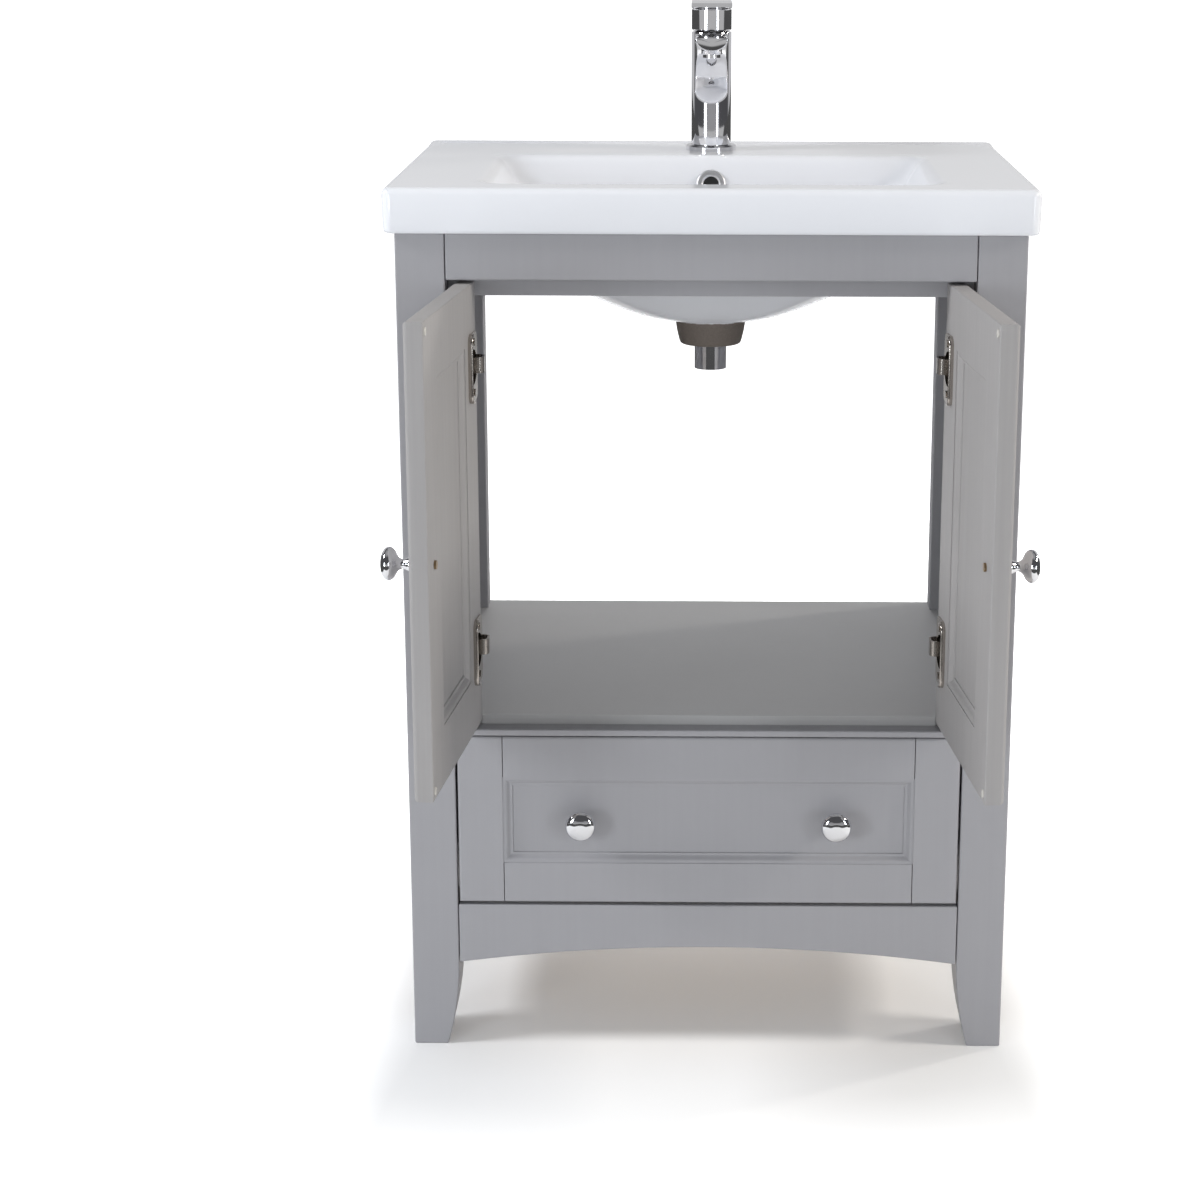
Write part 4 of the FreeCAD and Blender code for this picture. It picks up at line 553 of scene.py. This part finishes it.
def basin_rows():
    """Outlines in order, from the drain up the bowl, over the rim and the deck, down the edge, along the underside and
    back to the drain."""
    floor_rows = [round_row(19.2, 137), round_row(24, 137), round_row(30, 136.9)]
    inner = smooth_run(
        [
            bowl_row(136.4, 158, 90, 30), bowl_row(133.5, 137, 83, 31.5), bowl_row(118, 110, 76.5, 33.5),
            bowl_row(92, 62, 47.5, 36), bowl_row(57, 30, 23.5, 31), bowl_row(26.5, 17, 12.5, 27.5),
            bowl_row(8, 5.4, 4.0, 25),
        ], 6,
    )
    q = np.linspace(0, 1, 9)[1:, None]
    start, corner, end = (np.array(bowl_row(*row)) for row in ((8, 5.4, 4.0, 25), (0, 0, 0, 24), (0, -8, -8, 32)))
    rim = (1 - q) ** 2 * start + 2 * q * (1 - q) * corner + q ** 2 * end
    deck = np.linspace(end, slab_row(26, 0), 8)[1:]
    margin = [slab_row(inset, 0) for inset in np.arange(24.5, 7.5, -1.5)]
    tilt = np.radians(np.linspace(0, 90, 9))
    brow = [slab_row(BROW - BROW * math.sin(a), BROW - BROW * math.cos(a)) for a in tilt]
    skirt = [slab_row(0.2, 20), slab_row(0.7, 34), slab_row(*HEEL_START)]
    heel = [slab_row(HEEL_START[0] + HEEL - HEEL * math.cos(a), HEEL_START[1] + HEEL * math.sin(a)) for a in tilt[2::2]]
    under = [slab_row(14, 42.5), slab_row(14, 42.0), slab_row(14, 15), slab_row(14.6, 14)]
    outer = smooth_run(
        [
            bowl_row(14, -20.5, -19, 31), bowl_row(42.5, -10, -10.5, 36), bowl_row(92, 42, 32.5, 41),
            bowl_row(122, 97, 61, 43), bowl_row(140, 138, 78, 37), bowl_row(147, 165, 87.5, 31),
        ], 6,
    )
    boss = [
        round_row(35.5, 148.5), round_row(35.0, 152), round_row(33.4, 162), round_row(31.2, 171),
        round_row(30.4, 173), round_row(29.2, 174), round_row(26, 174), round_row(26, 162), round_row(19.2, 162),
    ]
    top_side = floor_rows + list(inner[:-1]) + [start] + list(rim) + list(deck) + margin
    return np.array(top_side + brow + skirt + heel + under + list(outer) + boss)


# the low lip along the deck's back: where it starts, how long its rise is and how high it is
LIP_START = BASIN_FRONT + 441 * MM
LIP_RUN = 5 * MM
LIP_RISE = 1.5 * MM


def lip(points):
    """Raises the deck's back margin by a low lip: its height times a smooth step in y, near the top only."""
    step = np.clip((points[:, 1] - LIP_START) / LIP_RUN, 0, 1)
    near_top = np.clip((points[:, 2] - (TOP - 9 * MM)) / (7 * MM), 0, 1)
    raised = points.copy()
    raised[:, 2] += LIP_RISE * step * step * (3 - 2 * step) * near_top
    return raised


outlines = rings(basin_rows())
basin = (lip(outlines.reshape(-1, 3)), grid_faces(outlines.shape[0], outlines.shape[1], True, True))
piece("Basin", [basin], "cabinet", GLAZE, ["basin"], sharp=50)

# painted shade behind the overflow ring: a near-black shallow cup standing in for the shadowed way into the hole, that
# leans with the ring, whose height goes as its reach squared
LEAN = math.radians(17)
RING_AXIS = np.array([0, -math.cos(LEAN), math.sin(LEAN)])
RING_SEAT = np.array([0, BOWL_Y + 121 * MM, TOP - 28.6 * MM])
CUP_RADIUS, CUP_LOW, CUP_RISE = 8.3 * MM, 0.4 * MM, 1.0 * MM
reach = np.linspace(0, 1, 7)
cup = np.stack([CUP_RADIUS * reach, CUP_LOW + CUP_RISE * reach ** 2], axis=1)
piece("OverflowShadeCup", [turned(cup, RING_SEAT, RING_AXIS, (1, 0, 0), 40)], "cabinet", PAINTED_SHADE_HOLE)


# Tap: places in metres, then sizes of the column and spout in mm
TAP_Y = BASIN_FRONT + 375 * MM
SPOUT_TOP = 978 * MM
COLUMN = 20.75
ARCH_REACH, ARCH_TOP, ARCH_DROP = 84.0, 14.5, 72.0
SPOUT_HALF, SPOUT_TAPER = 17.0, 0.1
SPOUT_EDGE = 0.6
BELLY = 12.4


def spout_sections():
    """Reach, half width and depth of the spout's sections: from the column the depth follows a quarter oval, drop -
    (drop - top) cos a at reach - (reach - column) sin a, then a straight run to a softened tip."""
    a = np.radians(np.linspace(90, 0, 30))
    reach = ARCH_REACH - (ARCH_REACH - COLUMN) * np.sin(a)
    depth = ARCH_DROP - (ARCH_DROP - ARCH_TOP) * np.cos(a)
    bend = np.stack([reach, SPOUT_HALF - SPOUT_TAPER * np.cos(a), depth], axis=1)
    root = [(0.0, SPOUT_HALF, ARCH_DROP), (12.0, SPOUT_HALF, ARCH_DROP)]
    run = [(96.0, 16.8, 13.8), (108.4, 16.75, 13.05), (109.4, 16.5, 12.8), (109.85, 16.0, 12.4), (110.0, 15.4, 11.9)]
    return np.concatenate([root, bend, run])


def spout_skin():
    """The spout: at each reach a section with a flat top, upright sides and a half-oval belly, carried forwards, and
    closed at both ends to its middle."""
    table = spout_sections()
    reach, half, depth = (table[:, i, None] for i in range(3))
    belly = np.minimum(BELLY, depth - 0.5)
    t = np.linspace(0, math.pi, 33)[None, :]
    share = np.linspace(0, 1, 7)[None, :-1]
    side = -SPOUT_EDGE - share * (depth - belly - SPOUT_EDGE)
    cap = np.linspace(1, -1, 9)[None, :] * (half - SPOUT_EDGE)
    x = np.concatenate([-half + 0 * side, -half * np.cos(t), half + 0 * side, cap], axis=1)
    z = np.concatenate([side, -(depth - belly) - belly * np.sin(t), side[:, ::-1], 0 * cap], axis=1)
    points = np.stack([x * MM, TAP_Y - reach * MM + 0 * x, SPOUT_TOP + z * MM], axis=-1)
    rows, cols = points.shape[:2]
    back, tip = (np.broadcast_to(middle, (1, cols, 3)) for middle in points[[0, -1]].mean(axis=1))
    points = np.concatenate([back, points, tip])
    return points.reshape(-1, 3), grid_faces(rows + 2, cols, wrap_cols=True)


shaft = np.array([(0.0, 0.0), (COLUMN, 0.0), (COLUMN, 121.2), (20.5, 121.8), (19.9, 122.0), (0.0, 122.0)]) * MM
sleeve = np.array([(9.0, 0.0), (10.1, 0.0), (10.5, 0.4), (10.5, 9.0), (9.0, 9.0), (9.0, 0.0)]) * MM
outlet = (0, TAP_Y - 95 * MM, SPOUT_TOP - 16.6 * MM)
tap_skins = [
    turned(shaft, (0, TAP_Y, TOP), (0, 0, 1), (1, 0, 0), 128), spout_skin(),
    turned(sleeve, outlet, (0, 0, 1), (1, 0, 0), 64),
]
piece("TapBody", tap_skins, "cabinet", CHROME, ["tap_body"], sharp=45)


# Stage
def ray_kinds(tree):
    """Two masks: rays from the camera or through a clear surface, and rays from a glossy surface."""
    path = add(tree, "ShaderNodeLightPath").outputs
    return calc(tree, "MAXIMUM", path["Is Camera Ray"], path["Is Transmission Ray"]), path["Is Glossy Ray"]


FLOOR_HALF = 40.0
FLOOR_TONE = (0.82, 0.82, 0.82, 1)
# the patch of floor that keeps its shadow: half width, front and back, and how much faster it ends at the sides
SHADE_HALF, SHADE_FRONT, SHADE_BACK = 0.27, 0.02, 0.33
SHADE_SIDES = 6.2
# how much the camera sees the floor lifted, in the patch and beyond it, and over what distance; the share metal sees
FLOOR_LIFT = (0.12, 0.95)
LIFT_RUN = 1.1
METAL_SHARE = 0.1
# what metal sees further out: where it starts, and its tone nearer and far in front
ROOM_START = (1.05, 1.2)
ROOM_FAR = (4.0, 5.5)
ROOM_TONES = (0.08, 0.5)


def floor_material():
    """Pale studio floor that keeps the soft shadow: the camera sees it lifted to white away from the unit, and
    polished metal sees it pale near the unit, dark further out in front and at the sides, and grey far in front."""
    material, tree, shader = blank("StudioFloor")
    surface = shader.outputs[0].links[0].to_socket
    seen, glossy = ray_kinds(tree)
    place = add(tree, "ShaderNodeSeparateXYZ", {0: object_place(tree)}).outputs
    width = calc(tree, "ABSOLUTE", place["X"])
    ahead = calc(tree, "MULTIPLY", place["Y"], -1.0)
    beside = calc(tree, "MULTIPLY", calc(tree, "SUBTRACT", width, SHADE_HALF), SHADE_SIDES)
    before = calc(tree, "SUBTRACT", ahead, SHADE_FRONT)
    behind = calc(tree, "SUBTRACT", place["Y"], SHADE_BACK)
    away = calc(tree, "MAXIMUM", beside, calc(tree, "MAXIMUM", before, behind))
    lift = remap(tree, away, (0.0, LIFT_RUN), FLOOR_LIFT, interpolation_type="SMOOTHSTEP")
    share = calc(tree, "MAXIMUM", seen, calc(tree, "MULTIPLY", glossy, METAL_SHARE))
    feed(tree, shader, {
        "Base Color": FLOOR_TONE, "Roughness": 0.9, "Specular IOR Level": 0.0, "Emission Color": (1, 1, 1, 1),
        "Emission Strength": calc(tree, "MULTIPLY", share, lift),
    })
    further = remap(tree, calc(tree, "MAXIMUM", width, ahead), ROOM_START, (0.0, 1.0))
    tone = remap(tree, ahead, ROOM_FAR, ROOM_TONES)
    room = add(tree, "ShaderNodeEmission", {"Color": (1, 1, 1, 1), "Strength": tone}).outputs[0]
    mask = calc(tree, "MULTIPLY", further, glossy)
    mixed = add(tree, "ShaderNodeMixShader", {0: mask, 1: shader.outputs[0], 2: room}).outputs[0]
    tree.links.new(mixed, surface)
    return material


sheet = bpy.data.meshes.new("Floor")
corners = [(-FLOOR_HALF, -FLOOR_HALF, 0), (FLOOR_HALF, -FLOOR_HALF, 0), (FLOOR_HALF, FLOOR_HALF, 0),
           (-FLOOR_HALF, FLOOR_HALF, 0)]
sheet.from_pydata(corners, [], [(0, 1, 2, 3)])
floor = bpy.data.objects.new("Floor", sheet)
floor.data.materials.append(floor_material())
bpy.context.scene.collection.objects.link(floor)

SOFT_TINT = (0.95, 0.97, 1.0)
ROOM_DARK = (0.08, 0.08, 0.085, 1)
ROOM_PALE = (0.57, 0.57, 0.58, 1)


def studio_world():
    """Soft light by direction: bright behind the unit and in front, dim at the sides and above. The camera sees white;
    polished metal sees a pale room behind the unit, grey overhead and in a band in front, and dark elsewhere."""
    world = bpy.data.worlds.new("Studio")
    world.use_nodes = True
    tree = world.node_tree
    tree.nodes.clear()
    seen, glossy = ray_kinds(tree)
    direction = add(tree, "ShaderNodeTexCoord").outputs["Generated"]
    split = add(tree, "ShaderNodeSeparateXYZ", {0: direction}).outputs
    deep, high = split["Y"], split["Z"]

    from_behind = remap(tree, deep, (0.0, 0.5), (0.0, 0.90))
    from_front = remap(tree, deep, (-0.7, -0.2), (0.85, 0.26))
    less_above = remap(tree, high, (0.25, 0.8), (1.0, 0.44))
    tone = calc(tree, "MULTIPLY", calc(tree, "ADD", from_behind, from_front), less_above)
    soft = scaled(tree, SOFT_TINT, tone)

    low = remap(tree, high, (0.45, 0.7), (1.0, 0.0))
    back = calc(tree, "MULTIPLY", remap(tree, deep, (0.35, 0.6), (0.0, 1.0)), low)
    level = remap(tree, calc(tree, "ABSOLUTE", high), (0.10, 0.14), (0.5, 0.0))
    band = calc(tree, "MULTIPLY", level, remap(tree, deep, (-0.75, -0.65), (1.0, 0.0)))
    above = remap(tree, high, (0.80, 0.95), (0.0, 0.5))
    pale = calc(tree, "MAXIMUM", calc(tree, "MAXIMUM", back, band), above)
    room = blend(tree, pale, ROOM_DARK, ROOM_PALE)

    colour = blend(tree, seen, blend(tree, glossy, soft, room), (1, 1, 1, 1))
    shade = add(tree, "ShaderNodeBackground", {"Color": colour, "Strength": 1.0}).outputs[0]
    add(tree, "ShaderNodeOutputWorld", {"Surface": shade})
    bpy.context.scene.world = world


studio_world()


def softbox(name, place, aim_height, size, power, colour):
    """A flat lamp at a place, turned to a height on the unit's axis."""
    light = bpy.data.lights.new(name, "AREA")
    light.shape = "RECTANGLE"
    light.size, light.size_y = size
    light.energy = power
    light.color = colour
    lamp = bpy.data.objects.new(name, light)
    aim = Vector((0, 0, aim_height)) - Vector(place)
    lamp.matrix_world = Matrix.Translation(Vector(place)) @ aim.to_track_quat("-Z", "Y").to_matrix().to_4x4()
    bpy.context.scene.collection.objects.link(lamp)
    return lamp


COOL = (0.90, 0.95, 1.0)
PLAIN = (0.97, 0.98, 1.0)
WARM = (1.0, 0.95, 0.88)
softbox("SideLeft", (-2.45, -0.55, 2.4), 0.5, size=(0.7, 0.7), power=52, colour=PLAIN)
softbox("SideRight", (2.7, -0.5, 2.27), 0.5, size=(0.6, 0.6), power=46, colour=WARM)
softbox("FrontLeft", (-1.9, -2.6, 0.8), 0.5, size=(0.7, 1.0), power=21, colour=COOL)
softbox("FrontRight", (2.0, -2.6, 0.75), 0.5, size=(0.45, 1.0), power=12, colour=COOL)
softbox("BackRight", (2.8, 1.37, 1.85), 0.4, size=(0.25, 0.25), power=24, colour=WARM)
low_lamp = softbox("BackLow", (0, 2.4, 0.95), 0.4, size=(0.5, 0.6), power=30, colour=PLAIN)
low_lamp.visible_camera = low_lamp.visible_glossy = False

# Camera, fitted to the photograph: place in mm from the basin's front, turns in radians, then focal length and the
# middle of the view in pixels of a square picture
CAMERA_PLACE = (-4.8442807, -2433.0894485, 1126.9191627)
PITCH, YAW, ROLL = 0.2652673, -0.0056494, -0.0031015
FOCAL_PIXELS = 2633.6871195
MIDDLE_PIXELS = 690.0409893
FRAME_PIXELS = 1200
SENSOR_WIDTH = 36.0


def photo_camera():
    """The camera basis from pitch, yaw and roll; the sideways offset of the picture is lens shift."""
    x, y, z = CAMERA_PLACE
    forward = np.array([math.sin(YAW) * math.cos(PITCH), math.cos(YAW) * math.cos(PITCH), -math.sin(PITCH)])
    right = np.array([math.cos(YAW), -math.sin(YAW), 0.0])
    down = np.cross(forward, right)
    across = math.cos(ROLL) * right + math.sin(ROLL) * down
    below = -math.sin(ROLL) * right + math.cos(ROLL) * down
    data = bpy.data.cameras.new("Photo")
    data.sensor_width = SENSOR_WIDTH
    data.lens = FOCAL_PIXELS / FRAME_PIXELS * SENSOR_WIDTH
    data.shift_x = -(MIDDLE_PIXELS - FRAME_PIXELS / 2) / FRAME_PIXELS
    data.clip_end = 100.0
    camera = bpy.data.objects.new("Photo", data)
    turn = Matrix((across, -below, -forward)).transposed().to_4x4()
    camera.matrix_world = Matrix.Translation((x * MM, y * MM + BASIN_FRONT, z * MM)) @ turn
    bpy.context.scene.collection.objects.link(camera)
    bpy.context.scene.camera = camera


photo_camera()
bpy.context.scene.view_settings.view_transform = "Standard"
